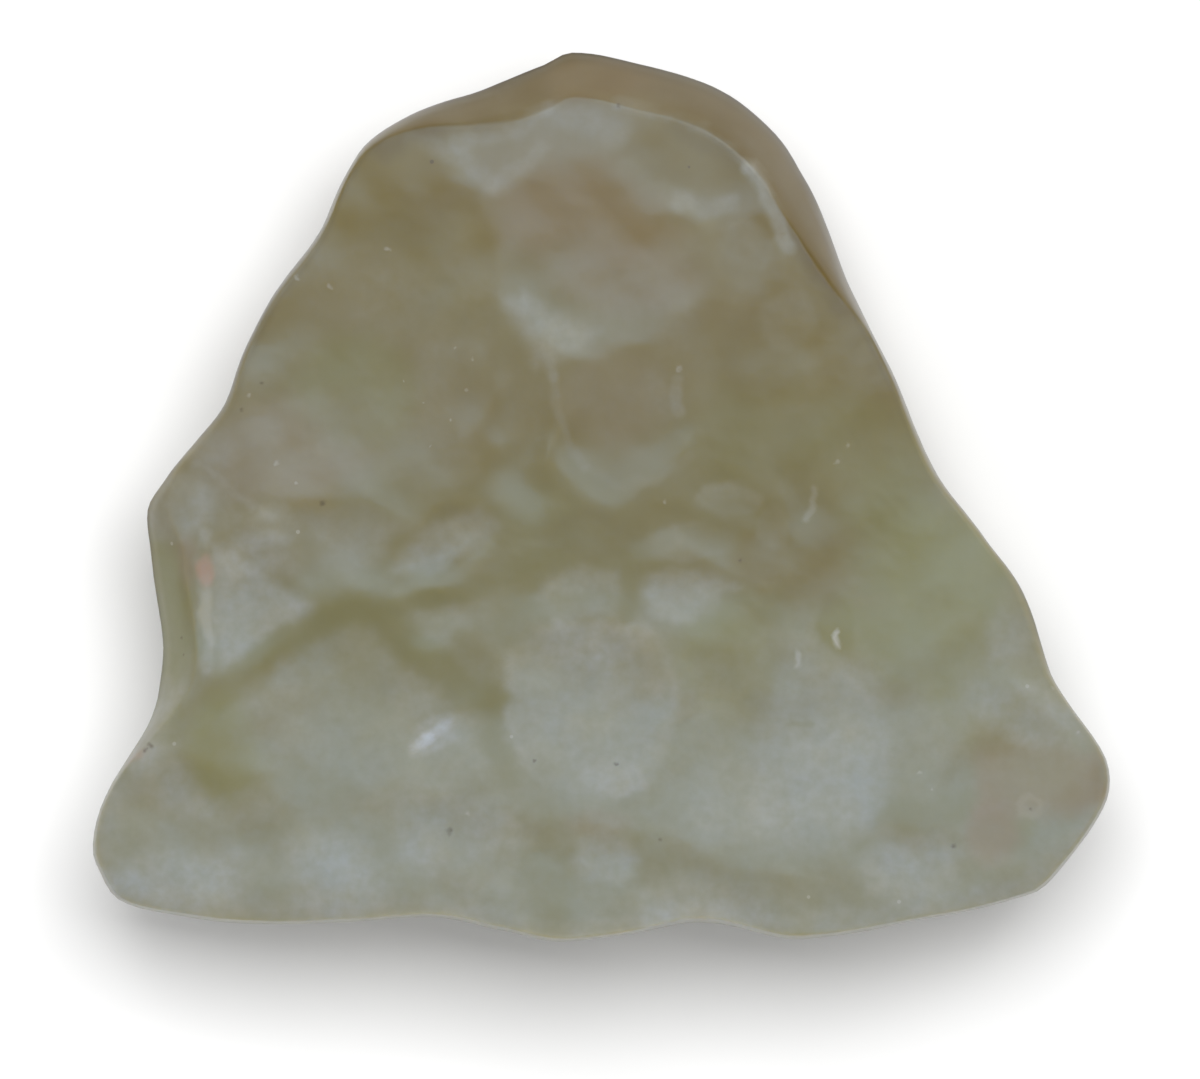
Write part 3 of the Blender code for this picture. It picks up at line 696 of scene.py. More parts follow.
# Where the upper face, the underside and the wall are hollowed.
UPPER_SCOOPS = (
    Scoop("rim dish", 4.1, 14.7, 3.3, 2.5, -14, 0.42, 0.4),
    Scoop("rim dish foot", 6.5, 11.3, 1.6, 1.7, 10, 0.2, -0.2),
    Scoop("great bowl", -0.1, 11.0, 5.2, 4.5, -4, 0.52, 0.3),
    Scoop("brow dimple", -5.1, 15.3, 1.6, 1.1, 20, 0.18, 0.0),
    Scoop("brow oval", -1.0, 16.9, 1.6, 0.7, 0, 0.08, 0.0),
    Scoop("round cup", 1.0, 3.4, 3.1, 3.2, 0, 0.42, 0.45),
    Scoop("trough", -3.6, 3.7, 1.4, 4.1, 4, 0.3, 0.5),
    Scoop("left hollow", -10.4, 7.6, 5.9, 9.0, -14, 0.78, 0.0),
    Scoop("left foot", -12.0, -2.2, 2.9, 2.0, 8, 0.35, -0.2),
    Scoop("left shoulder", -18.6, -0.3, 2.7, 1.8, 25, 0.22, -0.3),
    Scoop("left facet", -16.0, -4.6, 2.8, 3.5, 25, 0.42, -0.4),
    Scoop("slant", -7.2, -2.2, 2.4, 1.4, 33, 0.34, -0.3),
    Scoop("wide dish", -11.4, -10.2, 5.1, 5.2, 0, 0.5, -0.6),
    Scoop("glint", -7.4, -10.5, 1.6, 1.2, 20, 0.26, -0.1),
    Scoop("bright dish", -6.9, -10.3, 2.5, 3.6, -15, 0.34, -0.4),
    Scoop("pocket", -7.7, -5.7, 1.8, 1.4, 10, 0.22, -0.3),
    Scoop("dot a", -3.8, 0.7, 1.3, 1.2, 0, 0.14, -0.2),
    Scoop("dot b", 5.8, -0.2, 1.4, 1.1, 0, 0.1, -0.2),
    Scoop("dot c", 7.5, -1.4, 0.8, 1.1, 0, 0.12, -0.2),
    Scoop("grey oval", 4.0, -2.0, 2.3, 1.2, 0, 0.13, -0.3),
    Scoop("bright oval", 3.7, -4.5, 2.4, 1.4, -8, 0.2, -0.3),
    Scoop("mid oval", -1.2, -4.3, 2.2, 1.4, 5, 0.15, -0.3),
    Scoop("frosted disc", -0.5, -9.5, 3.7, 4.2, 0, 0.4, -0.65),
    Scoop("side dish", 5.5, -11.4, 2.6, 4.4, 0, 0.4, -0.5),
    Scoop("right dish", 10.4, -11.2, 3.8, 5.3, -5, 0.38, -0.55),
    Scoop("hem a", -2.4, -17.1, 3.6, 2.4, 0, 0.26, -0.3),
    Scoop("hem dot", 0.3, -16.4, 1.4, 1.2, 0, 0.18, -0.2),
    Scoop("hem b", 4.1, -18.1, 3.8, 1.9, -8, 0.22, -0.3),
    Scoop("hem c", 9.0, -18.7, 4.2, 1.6, -3, 0.16, -0.3),
    Scoop("hem d", 14.2, -16.9, 3.0, 2.0, 5, 0.24, -0.4),
    Scoop("foot left", -18.3, -15.5, 4.8, 3.4, 5, 0.45, -0.5),
    Scoop("foot mid", -9.1, -15.8, 4.8, 3.1, -4, 0.32, -0.5),
    Scoop("right slope", 12.8, -2.4, 4.2, 7.5, -22, 0.42, -0.1),
    Scoop("nick", 9.5, -0.2, 1.2, 1.4, 20, 0.22, 0.3),
    Scoop("right upper", 8.3, 7.7, 1.9, 1.6, 10, 0.08, 0.3),
    Scoop("right corner", 18.7, -12.7, 3.3, 3.4, -30, 0.42, -0.2),
    Scoop("right wing", 16.3, -9.2, 2.3, 2.8, -20, 0.12, -0.3),
)

LOWER_SCOOPS = (
    Scoop("under apex", -1.0, 10.5, 6.5, 7.5, 10, 1.5, 0.0),
    Scoop("under right shoulder", 11.5, 2.5, 5.5, 8.5, 20, 1.4, 0.0),
    Scoop("under right corner", 16.5, -9.5, 6.5, 6.0, -20, 1.3, 0.0),
    Scoop("under right hem", 8.0, -15.5, 7.5, 5.2, -8, 1.2, 0.0),
    Scoop("under left hem", -6.5, -15.5, 8.0, 5.2, 6, 1.4, 0.0),
    Scoop("under left corner", -16.5, -11.0, 6.5, 6.5, 30, 1.3, 0.0),
    Scoop("under left shoulder", -13.5, 1.0, 5.8, 8.0, -25, 1.5, 0.0),
)

WALL_DISHES = (
    WallDish(6, 4.2, 5.4, 3.0, 1.9),
    WallDish(33, 5.2, 5.4, 2.8, 1.7),
    WallDish(60, 3.8, 5.6, 3.0, 1.8),
    WallDish(87, 4.8, 4.8, 2.6, 1.5),
    WallDish(113, 3.8, 5.6, 3.0, 1.8),
    WallDish(140, 5.2, 5.4, 2.8, 1.9),
    WallDish(166, 3.8, 5.4, 3.0, 2.1),
    WallDish(193, 5.0, 5.4, 3.0, 2.2),
    WallDish(212, 6.6, 4.6, 2.4, 1.8),
    WallDish(228, 3.6, 5.4, 2.8, 2.2),
    WallDish(248, 6.4, 5.0, 2.8, 2.2),
    WallDish(268, 3.4, 5.0, 2.6, 2.0),
    WallDish(287, 6.6, 5.0, 2.8, 2.2),
    WallDish(306, 3.6, 5.4, 2.8, 2.2),
    WallDish(325, 6.2, 5.0, 2.8, 2.0),
    WallDish(344, 3.8, 5.6, 3.0, 2.1),
)


def outline_radius(angle):
    """Distance from STAR_CENTRE to the outline at each angle, along one smooth closed curve."""
    offsets = np.array(OUTLINE) - STAR_CENTRE
    angles = np.arctan2(offsets[:, 1], offsets[:, 0])
    radii = np.hypot(offsets[:, 0], offsets[:, 1])
    order = np.argsort(angles)
    angles = angles[order]
    radii = radii[order]
    angles = np.concatenate([angles[-2:] - 2 * np.pi, angles, angles[:2] + 2 * np.pi])
    radii = np.concatenate([radii[-2:], radii, radii[:2]])
    slopes = (radii[2:] - radii[:-2]) / (angles[2:] - angles[:-2])
    angles = angles[1:-1]
    radii = radii[1:-1]

    turned = np.mod(angle - angles[0], 2 * np.pi) + angles[0]
    span = np.clip(np.searchsorted(angles, turned, side="right") - 1, 0, len(angles) - 2)
    width = angles[span + 1] - angles[span]
    t = (turned - angles[span]) / width
    from_start = (2 * t**3 - 3 * t**2 + 1) * radii[span] + (t**3 - 2 * t**2 + t) * width * slopes[span]
    from_end = (3 * t**2 - 2 * t**3) * radii[span + 1] + (t**3 - t**2) * width * slopes[span + 1]
    return from_start + from_end


def waves_round(angle, waves):
    return sum(reach * np.sin(count * angle + phase) for reach, count, phase in waves)


def rim_height(angle):
    return RIM_HEIGHT - RIM_FALL_TO_APEX * np.sin(angle) + waves_round(angle, RIM_WAVES)


def smooth_rise(value):
    """0 below 0 and 1 above 1, with a smooth rise between."""
    t = np.clip(value, 0, 1)
    return t * t * (3 - 2 * t)


def bevel_profile(angle):
    """Width, slant and square of the bevel at each angle."""
    width = BEVEL_WIDTH + waves_round(angle, BEVEL_WAVES)
    slant = np.full_like(angle, BEVEL_SLANT)
    square = np.full_like(angle, BEVEL_SQUARE)
    for chamfer in CHAMFERS:
        off = np.degrees(np.abs(np.angle(np.exp(1j * (angle - np.radians(chamfer.bearing))))))
        share = smooth_rise((chamfer.half_span + chamfer.fade - off) / chamfer.fade)
        width += share * (chamfer.width - BEVEL_WIDTH)
        slant += share * (CHAMFER_SLANT - BEVEL_SLANT)
        square += share * (CHAMFER_SQUARE - BEVEL_SQUARE)
    return width, slant, square


def belly_width(angle):
    return BELLY_WIDTH + waves_round(angle, BELLY_WAVES)


def wander(x, y, waves):
    """Sum of slow waves, which bends straight lines and ellipses a little."""
    total = np.zeros_like(x)
    for reach, along_x, along_y, phase in waves:
        total += reach * np.sin(along_x * x + along_y * y + phase)
    return total


def scoop_depths(x, y, scoops):
    """How deep each scoop cuts at x, y, below 0 outside it: one row per scoop."""
    bent_x = x + wander(x, y, WANDER_X)
    bent_y = y + wander(x, y, WANDER_Y)
    rows = []
    for scoop in scoops:
        turn = np.radians(scoop.turn)
        from_x = bent_x - scoop.x
        from_y = bent_y - scoop.y
        across = (from_x * np.cos(turn) + from_y * np.sin(turn)) / scoop.half_width
        along = (from_y * np.cos(turn) - from_x * np.sin(turn)) / scoop.half_length
        dish = 1 - (across**2 + along**2) ** FLOOR_FLATNESS
        rows.append(scoop.depth * dish * (1 - scoop.lean * np.clip(along, -1, 1)))
    return np.array(rows)


def deepest(depths, rounding):
    """The deepest cut at each place, with the ridges between cuts rounded off."""
    highest = depths.max(axis=0)
    return highest + rounding * np.log(np.exp((depths - highest) / rounding).sum(axis=0))


def upper_face_height(x, y, inset):
    """Height of the upper face away from the bevel: its crown, less what the scoops take off it."""
    crown = CROWN_HEIGHT - FLANK_FALL * x**2
    crown -= BROW_FALL * np.maximum(y - BROW_Y, 0) ** 2
    crown += LIP_RISE * np.maximum(LIP_Y - y, 0) ** 2
    crown -= EDGE_FALL * np.clip(1 - inset / EDGE_REACH, 0, 1) ** 2
    rounding = RIDGE_ROUNDING + BLUNTING * smooth_rise((BLUNT_FROM_Y - y) / BLUNT_OVER)
    cut = deepest(scoop_depths(x, y, UPPER_SCOOPS), rounding)
    return crown - deepest(np.array([cut, np.zeros_like(cut)]), SKIRT_ROUNDING)


def belly_height(x, y):
    """Height of the underside away from the wall: 0 on the land, and more where it is hollowed."""
    return np.maximum(deepest(scoop_depths(x, y, LOWER_SCOOPS), RIDGE_ROUNDING), 0)


def wall_hollow(angle, radius, height):
    """How far the dishes push the wall in, at a height and at an angle round STAR_CENTRE."""
    rows = [np.zeros_like(angle)]
    for dish in WALL_DISHES:
        turn = np.angle(np.exp(1j * (angle - np.radians(dish.bearing))))
        across = turn * radius / dish.half_width
        up = (height - dish.height) / dish.half_height
        rows.append(dish.depth * (1 - across**2 - up**2))
    return deepest(np.array(rows), RIDGE_ROUNDING)


def slope_share(inset, width, slant, square):
    """Share of the wall's height reached at a distance in from the rim: 0 to 1."""
    outward = np.clip(1 - inset / width, 0, 1)
    return (1 - outward**slant) ** (1 / square)


def wall_inset(rise, edge_inset, width, slant):
    """Distance in from the rim for rise 0 to 1, which spaces the wall's rows evenly."""
    steepest = np.arccos((1 - edge_inset / width) ** (slant / 2))
    return width * (1 - np.cos(rise * steepest) ** (2 / slant))


def square_to_polar(u, v):
    """Ring (0 to 1) and angle of each point of a square, with its rings turned into circles."""
    ring = np.maximum(np.abs(u), np.abs(v))
    wide = np.abs(u) >= np.abs(v)
    over = np.where(wide, u, v)
    share = np.where(wide, v, -u) / np.where(over == 0, 1, over)
    start = np.where(wide, 0, np.pi / 2) + np.where(over < 0, np.pi, 0)
    return ring, start + share * np.pi / 4


def stone_points(cube):
    """Carries the points of a cube of half-side 1 onto the stone, in millimetres."""
    ring, angle = square_to_polar(cube[:, 0], cube[:, 1])
    level = cube[:, 2]
    above = level >= 0
    bevel, bevel_slant, bevel_square = bevel_profile(angle)
    width = np.where(above, bevel, belly_width(angle))
    edge_inset = width * np.where(above, BEVEL_ON_WALL, BELLY_ON_WALL)
    slant = np.where(above, bevel_slant, BELLY_SLANT)
    square = np.where(above, bevel_square, BELLY_SQUARE)

    radius = outline_radius(angle)
    on_sheet = np.abs(level) > 1 - SAME_LEVEL
    inset_on_wall = wall_inset(np.abs(level), edge_inset, width, slant)
    inset = np.where(on_sheet, radius - ring * (radius - edge_inset), inset_on_wall)
    x = STAR_CENTRE[0] + (radius - inset) * np.cos(angle)
    y = STAR_CENTRE[1] + (radius - inset) * np.sin(angle)

    rim = rim_height(angle)
    far = np.where(above, upper_face_height(x, y, inset), belly_height(x, y))
    z = rim + (far - rim) * slope_share(inset, width, slant, square)

    hollow = wall_hollow(angle, radius, z) * np.clip(1 - inset / WALL_REACH, 0, 1) ** 2
    hollow *= 1 - np.exp(-(((z - rim) / RIM_KEEP) ** 2))
    x -= hollow * np.cos(angle)
    y -= hollow * np.sin(angle)
    return np.stack([x, y, z], axis=1)


def is_level(edge):
    return abs(edge.verts[0].co.z - edge.verts[1].co.z) < SAME_LEVEL


def subdivided_cube():
    """A cube of half-side 1 with level rings up its wall and a grid on its top and underside."""
    bm = bmesh.new()
    bmesh.ops.create_cube(bm, size=2.0)
    upright = [edge for edge in bm.edges if not is_level(edge)]
    bmesh.ops.subdivide_edges(bm, edges=upright, cuts=WALL_ROWS - 1)
    level = [edge for edge in bm.edges if is_level(edge)]
    bmesh.ops.subdivide_edges(bm, edges=level, cuts=CELLS - 1, use_grid_fill=True)
    upper = [edge for edge in bm.edges if min(vert.co.z for vert in edge.verts) > 1 - SAME_LEVEL]
    bmesh.ops.subdivide_edges(bm, edges=upper, cuts=FACE_CUTS, use_grid_fill=True)
    return bm


def ripple(bm):
    """Cuts the wind's fine ripple into the surface, everywhere but on the land it rests on."""
    bm.normal_update()
    for vert in bm.verts:
        clear = min(max(vert.co.z / MM / RIPPLE_FREE_HEIGHT - 1, 0), 1)
        place = vert.co / MM
        depth = sum(reach * (0.5 + 0.5 * noise.noise(place * waves)) for reach, waves in RIPPLES)
        vert.co = vert.co - vert.normal * (depth * clear * MM)


def noise_at(points, waves):
    """Smooth noise between -1 and 1 at each point."""
    return np.array([noise.noise(Vector(point) * waves) for point in points])


def patch_mask(x, y, patch):
    turn = math.radians(patch.turn)
    across = ((x - patch.x) * np.cos(turn) + (y - patch.y) * np.sin(turn)) / patch.half_width
    along = ((y - patch.y) * np.cos(turn) - (x - patch.x) * np.sin(turn)) / patch.half_length
    return smooth_rise(0.5 + (1 - np.hypot(across, along)) / patch.softness)


def distance_to_path(x, y, points):
    """Distance from each place to a path of straight runs."""
    nearest = np.full_like(x, np.inf)
    for (start_x, start_y), (end_x, end_y) in zip(points, points[1:]):
        run_x = end_x - start_x
        run_y = end_y - start_y
        share = ((x - start_x) * run_x + (y - start_y) * run_y) / (run_x**2 + run_y**2)
        share = np.clip(share, 0, 1)
        away = np.hypot(x - start_x - share * run_x, y - start_y - share * run_y)
        nearest = np.minimum(nearest, away)
    return nearest


def stroke_mask(x, y, stroke):
    away = distance_to_path(x, y, stroke.points)
    return smooth_rise(STROKE_END - away / stroke.half_width)


def field_mask(x, y, field):
    """Inside is where an odd number of the field's sides lie to the +X side of a place."""
    corners = field.points + field.points[:1]
    inside = np.zeros(len(x), bool)
    for (start_x, start_y), (end_x, end_y) in zip(corners, corners[1:]):
        if start_y != end_y:
            beside = (start_y > y) != (end_y > y)
            crossing = start_x + (y - start_y) / (end_y - start_y) * (end_x - start_x)
            inside ^= beside & (x < crossing)
    depth = distance_to_path(x, y, corners) * np.where(inside, 1, -1)
    return smooth_rise(0.5 + depth / (2 * field.softness))


def mask(x, y, mark):
    """1 in the middle of a mark, falling smoothly to 0 at its edge, times its strength."""
    masks = {Patch: patch_mask, Field: field_mask, Stroke: stroke_mask}
    return mark.strength * masks[type(mark)](x, y, mark)


def edge_paint(places):
    """How far the painted shade at the edge of the upper face and at the rim, and the painted light at
    the corner between them, reach each place.
    """
    from_x = places[:, 0] - STAR_CENTRE[0]
    from_y = places[:, 1] - STAR_CENTRE[1]
    inset = outline_radius(np.arctan2(from_y, from_x)) - np.hypot(from_x, from_y)
    edge = smooth_rise(1 - inset / EDGE_SHADE_WIDTH)
    edge = edge * smooth_rise((places[:, 1] - EDGE_SHADE_FROM_Y) / EDGE_SHADE_OVER)
    rim = smooth_rise(1 - inset / RIM_SHADE_WIDTH)
    corner = smooth_rise(1 - abs(inset - CORNER_INSET) / CORNER_REACH)
    return edge, rim, corner


def body_and_frost_and_sheen(places):
    """Body colour with painted shade and light, and frosting with painted sheen, at each place in
    millimetres.
    """
    x = places[:, 0].copy()
    y = places[:, 1].copy()
    for reach, waves in BLOTCHES:
        x += reach * noise_at(places, waves)
        y += reach * noise_at(places + BLOTCH_STEP, waves)
    marked = smooth_rise((places[:, 2] - MARKS_FROM_HEIGHT) / MARKS_OVER)

    clouds = OLIVE_CLOUDS * noise_at(places, OLIVE_CLOUD_WAVES)
    olive = smooth_rise(OLIVE_SHARE + clouds + OLIVE_RISE * (OLIVE_Y - y))[:, None]
    body = np.array(BROWN) * (1 - olive) + np.array(OLIVE) * olive
    for colour, marks in TINTS.items():
        for mark in marks:
            tinted = (mask(x, y, mark) * marked)[:, None]
            body = body * (1 - tinted) + np.array(colour) * tinted

    frost_and_sheen = FROST_TRACE + FROST_LOW_DOWN * smooth_rise((FROST_FROM_Y - y) / FROST_OVER)
    for mark in FROST_AND_SHEEN:
        frost_and_sheen += mask(x, y, mark) * marked
    for mark in POLISHED_AND_SHADED:
        frost_and_sheen *= 1 - mask(x, y, mark) * marked
    frost_and_sheen += FROST_CLOUDS * noise_at(places, FROST_CLOUD_WAVES)

    # Painted shade darkens the edge of the upper face and the rim; painted light lightens the corner.
    edge, rim, corner = edge_paint(places)
    frost_and_sheen = frost_and_sheen * (1 - edge) * (1 - rim) + CORNER_PAINTED_SHEEN * corner
    shade = (1 - EDGE_SHADE * edge) * (1 - RIM_SHADE * rim) * (1 + CORNER_LIGHT * corner)
    return body * shade[:, None], frost_and_sheen.clip(0, MOST_FROST)


def paint(mesh):
    """Stores the body's colour and the skin's frosting, with painted shade and sheen, one value at
    each point of the mesh.
    """
    count = len(mesh.vertices)
    places = np.empty(count * 3, np.float32)
    mesh.vertices.foreach_get("co", places)
    body, frost_and_sheen = body_and_frost_and_sheen(places.reshape(-1, 3).astype(float) / MM)
    tint = mesh.attributes.new("body_tint", "FLOAT_COLOR", "POINT")
    tint.data.foreach_set("color", np.column_stack([body, np.ones(count)]).ravel())
    layer = mesh.attributes.new("frost_and_sheen", "FLOAT", "POINT")
    layer.data.foreach_set("value", frost_and_sheen)


def fine_stone():
    bm = subdivided_cube()
    cube = np.array([vert.co for vert in bm.verts])
    for vert, point in zip(bm.verts, stone_points(cube) * MM):
        vert.co = point
    bmesh.ops.triangulate(bm, faces=bm.faces[:])
    bmesh.ops.recalc_face_normals(bm, faces=bm.faces[:])
    ripple(bm)
    mesh = bpy.data.meshes.new("worn_glass_stone")
    bm.to_mesh(mesh)
    bm.free()
    mesh.shade_smooth()
    paint(mesh)
    stone = bpy.data.objects.new("worn_glass_stone", mesh)
    bpy.context.scene.collection.objects.link(stone)
    return stone


def feed(tree, socket, value):
    """Links a socket to another one, or gives it a number, a vector or a plain colour."""
    if isinstance(value, bpy.types.NodeSocket):
        tree.links.new(value, socket)
    elif socket.type == "RGBA":
        socket.default_value = (*value, 1)
    else:
        socket.default_value = value


def math_node(tree, operation, *values):
    node = tree.nodes.new("ShaderNodeMath")
    node.operation = operation
    for socket, value in zip(node.inputs, values):
        feed(tree, socket, value)
    return node.outputs["Value"]


def vector_node(tree, operation, *values):
    node = tree.nodes.new("ShaderNodeVectorMath")
    node.operation = operation
    for socket, value in zip(node.inputs, values):
        feed(tree, socket, value)
    return node.outputs["Vector"]


def colour_mix(tree, factor, first, second):
    node = tree.nodes.new("ShaderNodeMix")
    node.data_type = "RGBA"
    node.clamp_factor = False
    for name, value in (("Factor", factor), ("A", first), ("B", second)):
        feed(tree, node.inputs[name], value)
    return node.outputs["Result"]


def noise_texture(tree, place, waves, detail):
    node = tree.nodes.new("ShaderNodeTexNoise")
    node.inputs["Scale"].default_value = waves
    node.inputs["Detail"].default_value = detail
    tree.links.new(place, node.inputs["Vector"])
    return node


def painted(tree, name):
    """The value that paint() stored under this name at each point of the mesh."""
    node = tree.nodes.new("ShaderNodeAttribute")
    node.attribute_name = name
    return node


def fleck_group():
    """A soft round mark: 1 at Centre, and 0 from Reach outwards."""
    group = bpy.data.node_groups.new("fleck", "ShaderNodeTree")
    group.interface.new_socket("Place", in_out="INPUT", socket_type="NodeSocketVector")
    group.interface.new_socket("Centre", in_out="INPUT", socket_type="NodeSocketVector")
    group.interface.new_socket("Reach", in_out="INPUT", socket_type="NodeSocketFloat")
    group.interface.new_socket("Mask", in_out="OUTPUT", socket_type="NodeSocketFloat")
    entry = group.nodes.new("NodeGroupInput")
    exit_node = group.nodes.new("NodeGroupOutput")
    away = group.nodes.new("ShaderNodeVectorMath")
    away.operation = "DISTANCE"
    group.links.new(entry.outputs["Place"], away.inputs[0])
    group.links.new(entry.outputs["Centre"], away.inputs[1])
    fall = group.nodes.new("ShaderNodeMapRange")
    fall.interpolation_type = "SMOOTHSTEP"
    fall.inputs["From Min"].default_value = 0.0
    fall.inputs["To Min"].default_value = 1.0
    fall.inputs["To Max"].default_value = 0.0
    group.links.new(away.outputs["Value"], fall.inputs["Value"])
    group.links.new(entry.outputs["Reach"], fall.inputs["From Max"])
    group.links.new(fall.outputs["Result"], exit_node.inputs["Mask"])
    return group


def with_flecks(tree, mask_so_far, group, place, stone, spots):
    """Adds a set of flecks to a mask, each set at the height of the surface under it."""
    for x, y, reach in spots:
        above = Vector((x * MM, y * MM, FLECK_DROP_FROM))
        surface = stone.ray_cast(above, STRAIGHT_DOWN)[1]
        node = tree.nodes.new("ShaderNodeGroup")
        node.node_tree = group
        tree.links.new(place, node.inputs["Place"])
        node.inputs["Centre"].default_value = surface
        node.inputs["Reach"].default_value = reach * MM
        mask_so_far = math_node(tree, "MAXIMUM", mask_so_far, node.outputs["Mask"])
    return mask_so_far


def speck_and_fleck_masks(tree, place, stone):
    """Masks of the pale and of the dark specks and flecks.

    A stray speck sits in the middle of some of the cells of one coarse pattern.
    """
    cells = tree.nodes.new("ShaderNodeTexVoronoi")
    cells.inputs["Scale"].default_value = SPECK_WAVES
    tree.links.new(place, cells.inputs["Vector"])
    middle = math_node(tree, "LESS_THAN", cells.outputs["Distance"], SPECK_REACH)
    lot = tree.nodes.new("ShaderNodeSeparateColor")
    tree.links.new(cells.outputs["Color"], lot.inputs["Color"])
    pale_lot = math_node(tree, "GREATER_THAN", lot.outputs["Red"], 1 - PALE_SPECK_SHARE)
    dark_lot = math_node(tree, "LESS_THAN", lot.outputs["Red"], DARK_SPECK_SHARE)
    pale = math_node(tree, "MULTIPLY", middle, pale_lot)
    dark = math_node(tree, "MULTIPLY", middle, dark_lot)

    offset = noise_texture(tree, place, FLECK_WANDER_WAVES, SOFT_DETAIL).outputs["Color"]
    uneven = vector_node(tree, "MULTIPLY_ADD", offset, (FLECK_WANDER,) * 3, place)
    uneven = vector_node(tree, "SUBTRACT", uneven, (FLECK_WANDER / 2,) * 3)
    fleck = fleck_group()
    pale = with_flecks(tree, pale, fleck, uneven, stone, PALE_FLECKS)
    dark = with_flecks(tree, dark, fleck, uneven, stone, DARK_FLECKS)
    return pale, dark


def cloudy_glass(stone):
    """Cloudy natural glass: a scattering body under a polished or frosted skin."""
    material = bpy.data.materials.new("cloudy_desert_glass")
    material.use_nodes = True
    tree = material.node_tree
    shader = tree.nodes["Principled BSDF"]
    shader.inputs["IOR"].default_value = GLASS_IOR
    shader.inputs["Subsurface Weight"].default_value = SCATTER_WEIGHT
    shader.inputs["Subsurface Radius"].default_value = SCATTER_RADIUS
    shader.inputs["Subsurface Scale"].default_value = SCATTER_SCALE

    place = tree.nodes.new("ShaderNodeTexCoord").outputs["Object"]
    tint = painted(tree, "body_tint").outputs["Color"]
    # The stored frosting is partly painted sheen.
    frost_and_sheen = painted(tree, "frost_and_sheen").outputs["Fac"]
    grain = noise_texture(tree, place, GRAIN_WAVES, SOFT_DETAIL).outputs["Fac"]
    broken = math_node(tree, "MULTIPLY_ADD", grain, GRAIN_ON_FROST, 1 - GRAIN_ON_FROST / 2)
    frosted = math_node(tree, "MULTIPLY", frost_and_sheen, broken)

    haze = noise_texture(tree, place, HAZE_WAVES, SOFT_DETAIL).outputs["Fac"]
    drift = math_node(tree, "MULTIPLY_ADD", haze, HAZE_CONTRAST, (1 - HAZE_CONTRAST) / 2)
    colour = colour_mix(tree, frosted, tint, colour_mix(tree, drift, WARM_FROST_AND_SHEEN, COOL_FROST_AND_SHEEN))
    pale, dark = speck_and_fleck_masks(tree, place, stone)
    colour = colour_mix(tree, math_node(tree, "MULTIPLY", pale, PALE_COVER), colour, PALE_FLECK_AND_GLINT)
    colour = colour_mix(tree, math_node(tree, "MULTIPLY", dark, DARK_COVER), colour, DARK_FLECK)
    tree.links.new(colour, shader.inputs["Base Color"])

    rough = tree.nodes.new("ShaderNodeMapRange")
    rough.inputs["From Max"].default_value = 1.0
    rough.inputs["To Min"].default_value = POLISHED_ROUGHNESS
    rough.inputs["To Max"].default_value = FROSTED_ROUGHNESS
    tree.links.new(frosted, rough.inputs["Value"])
    tree.links.new(rough.outputs["Result"], shader.inputs["Roughness"])

    # The grain's relief counts for nothing where the skin kept its polish.
    relief = math_node(tree, "MULTIPLY", grain, GRAIN_DEPTH)
    bump = tree.nodes.new("ShaderNodeBump")
    bump.inputs["Distance"].default_value = 1.0
    tree.links.new(math_node(tree, "MULTIPLY", relief, frost_and_sheen), bump.inputs["Height"])
    tree.links.new(bump.outputs["Normal"], shader.inputs["Normal"])
    return material


# The camera looks straight down from far off, so that the outline keeps its true shape. The picture
# is PICTURE_WIDTH wide at PICTURE_LEVEL above the table. CAMERA_HEIGHT and its clips are in metres.
CAMERA_HEIGHT = 1.2
CAMERA_CLIPS = (0.01, 20.0)
SENSOR_WIDTH = 36.0
PICTURE_WIDTH = 54.25
PICTURE_CENTRE = (-0.06, -1.95)
PICTURE_LEVEL = 7.5


def overhead_camera():
    camera = bpy.data.cameras.new("overhead_camera")
    camera.sensor_width = SENSOR_WIDTH
    distance = CAMERA_HEIGHT - PICTURE_LEVEL * MM
    camera.lens = SENSOR_WIDTH * distance / (PICTURE_WIDTH * MM)
    camera.clip_start, camera.clip_end = CAMERA_CLIPS
    holder = bpy.data.objects.new("overhead_camera", camera)
    holder.location = (PICTURE_CENTRE[0] * MM, PICTURE_CENTRE[1] * MM, CAMERA_HEIGHT)
    bpy.context.scene.collection.objects.link(holder)
    bpy.context.scene.camera = holder


class Softbox(NamedTuple):
    """A rectangular light aimed at the stone, in metres.

    bearing is clockwise from +Y, and tilt is the angle from straight overhead.
    """

    name: str
    bearing: float
    tilt: float
    distance: float
    width: float
    height: float
    radiance: float
    colour: tuple


# The overhead light shades the stone, and the sheen is seen in its skin alone.
WHITE = (1.0, 1.0, 1.0)
OVERHEAD_LIGHT = Softbox("overhead", 10, 13.5, 0.6, 0.38, 0.25, 10.2, WHITE)
SHEEN_LIGHT = Softbox("sheen", 10, 42, 0.4, 0.6, 0.5, 2.8, (0.43, 0.69, 1.0))
AIR_STRENGTH = 0.66

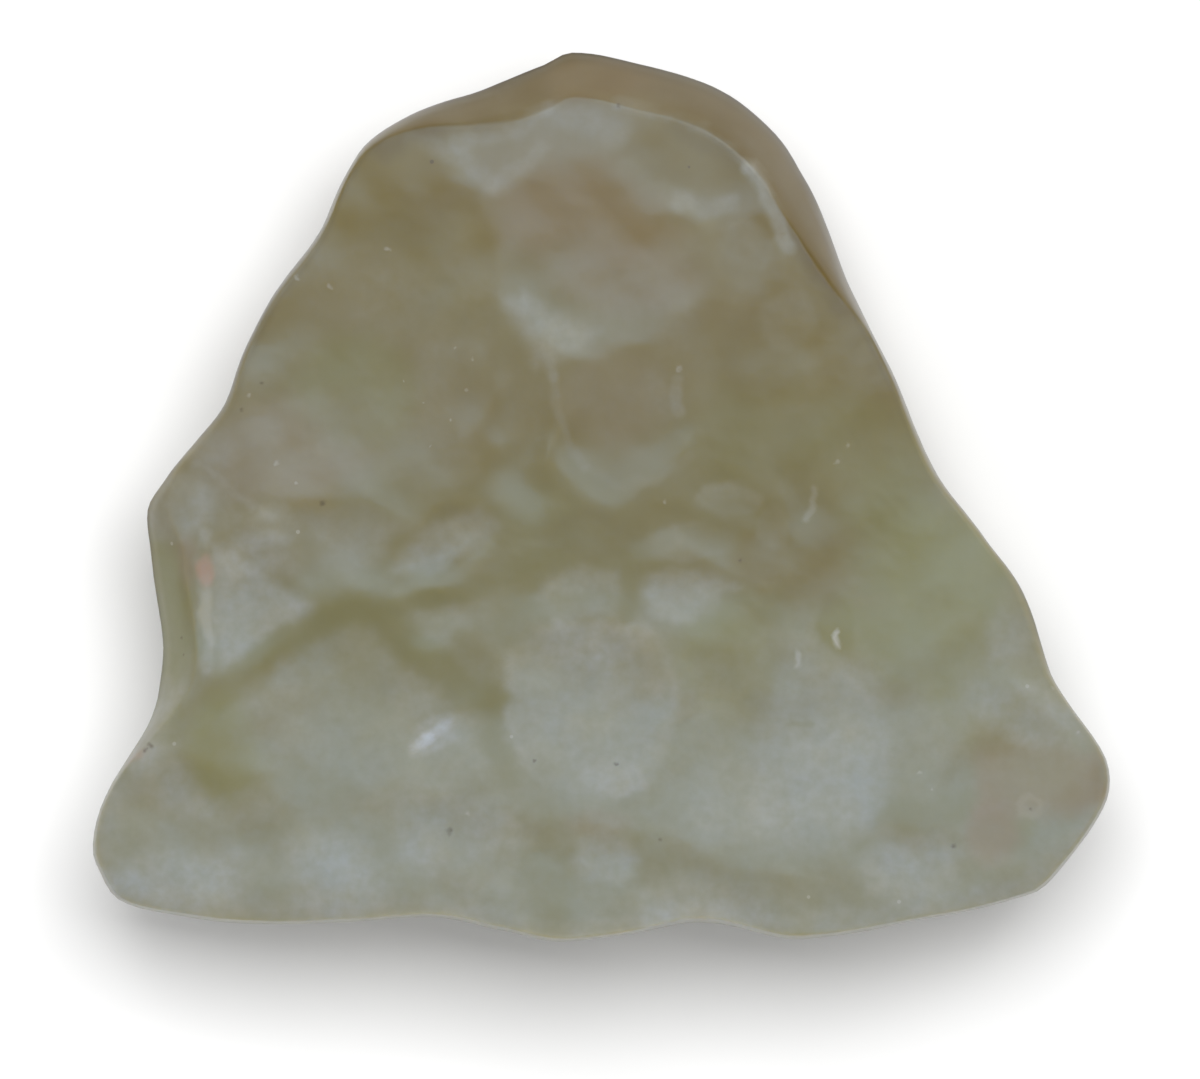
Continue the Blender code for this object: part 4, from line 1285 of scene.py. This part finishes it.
# The table reaches this far from its middle, in metres.
TABLE_REACH = 1.5
TABLE_COLOUR = (0.82, 0.82, 0.82, 1.0)
TABLE_ROUGHNESS = 0.9


def hang_softbox(box):
    light = bpy.data.lights.new(box.name, "AREA")
    light.shape = "RECTANGLE"
    light.size = box.width
    light.size_y = box.height
    light.color = box.colour
    light.energy = box.radiance * box.width * box.height * math.pi
    holder = bpy.data.objects.new(box.name, light)
    bearing = math.radians(box.bearing)
    tilt = math.radians(box.tilt)
    direction = Vector((
        math.sin(bearing) * math.sin(tilt),
        math.cos(bearing) * math.sin(tilt),
        math.cos(tilt),
    ))
    holder.location = direction * box.distance
    holder.rotation_euler = direction.to_track_quat("Z", "Y").to_euler()
    holder.visible_camera = False
    bpy.context.scene.collection.objects.link(holder)
    return holder


def white_table():
    bm = bmesh.new()
    bmesh.ops.create_grid(bm, x_segments=1, y_segments=1, size=TABLE_REACH)
    mesh = bpy.data.meshes.new("table")
    bm.to_mesh(mesh)
    bm.free()
    material = bpy.data.materials.new("white_table")
    material.use_nodes = True
    shader = material.node_tree.nodes["Principled BSDF"]
    shader.inputs["Base Color"].default_value = TABLE_COLOUR
    shader.inputs["Roughness"].default_value = TABLE_ROUGHNESS
    shader.inputs["Specular IOR Level"].default_value = 0.0
    mesh.materials.append(material)
    table = bpy.data.objects.new("table", mesh)
    bpy.context.scene.collection.objects.link(table)
    return table


def studio():
    table = white_table()
    hang_softbox(OVERHEAD_LIGHT).visible_glossy = False
    hang_softbox(SHEEN_LIGHT).visible_diffuse = False
    world = bpy.data.worlds.new("studio_air")
    world.use_nodes = True
    world.node_tree.nodes["Background"].inputs["Color"].default_value = (*WHITE, 1.0)
    world.node_tree.nodes["Background"].inputs["Strength"].default_value = AIR_STRENGTH
    world.cycles_visibility.glossy = False
    bpy.context.scene.world = world
    bpy.context.scene.view_settings.view_transform = "Standard"


stone = fine_stone()
stone.data.materials.append(cloudy_glass(stone))
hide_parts("desert_glass")
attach(stone, "root")
overhead_camera()
studio()
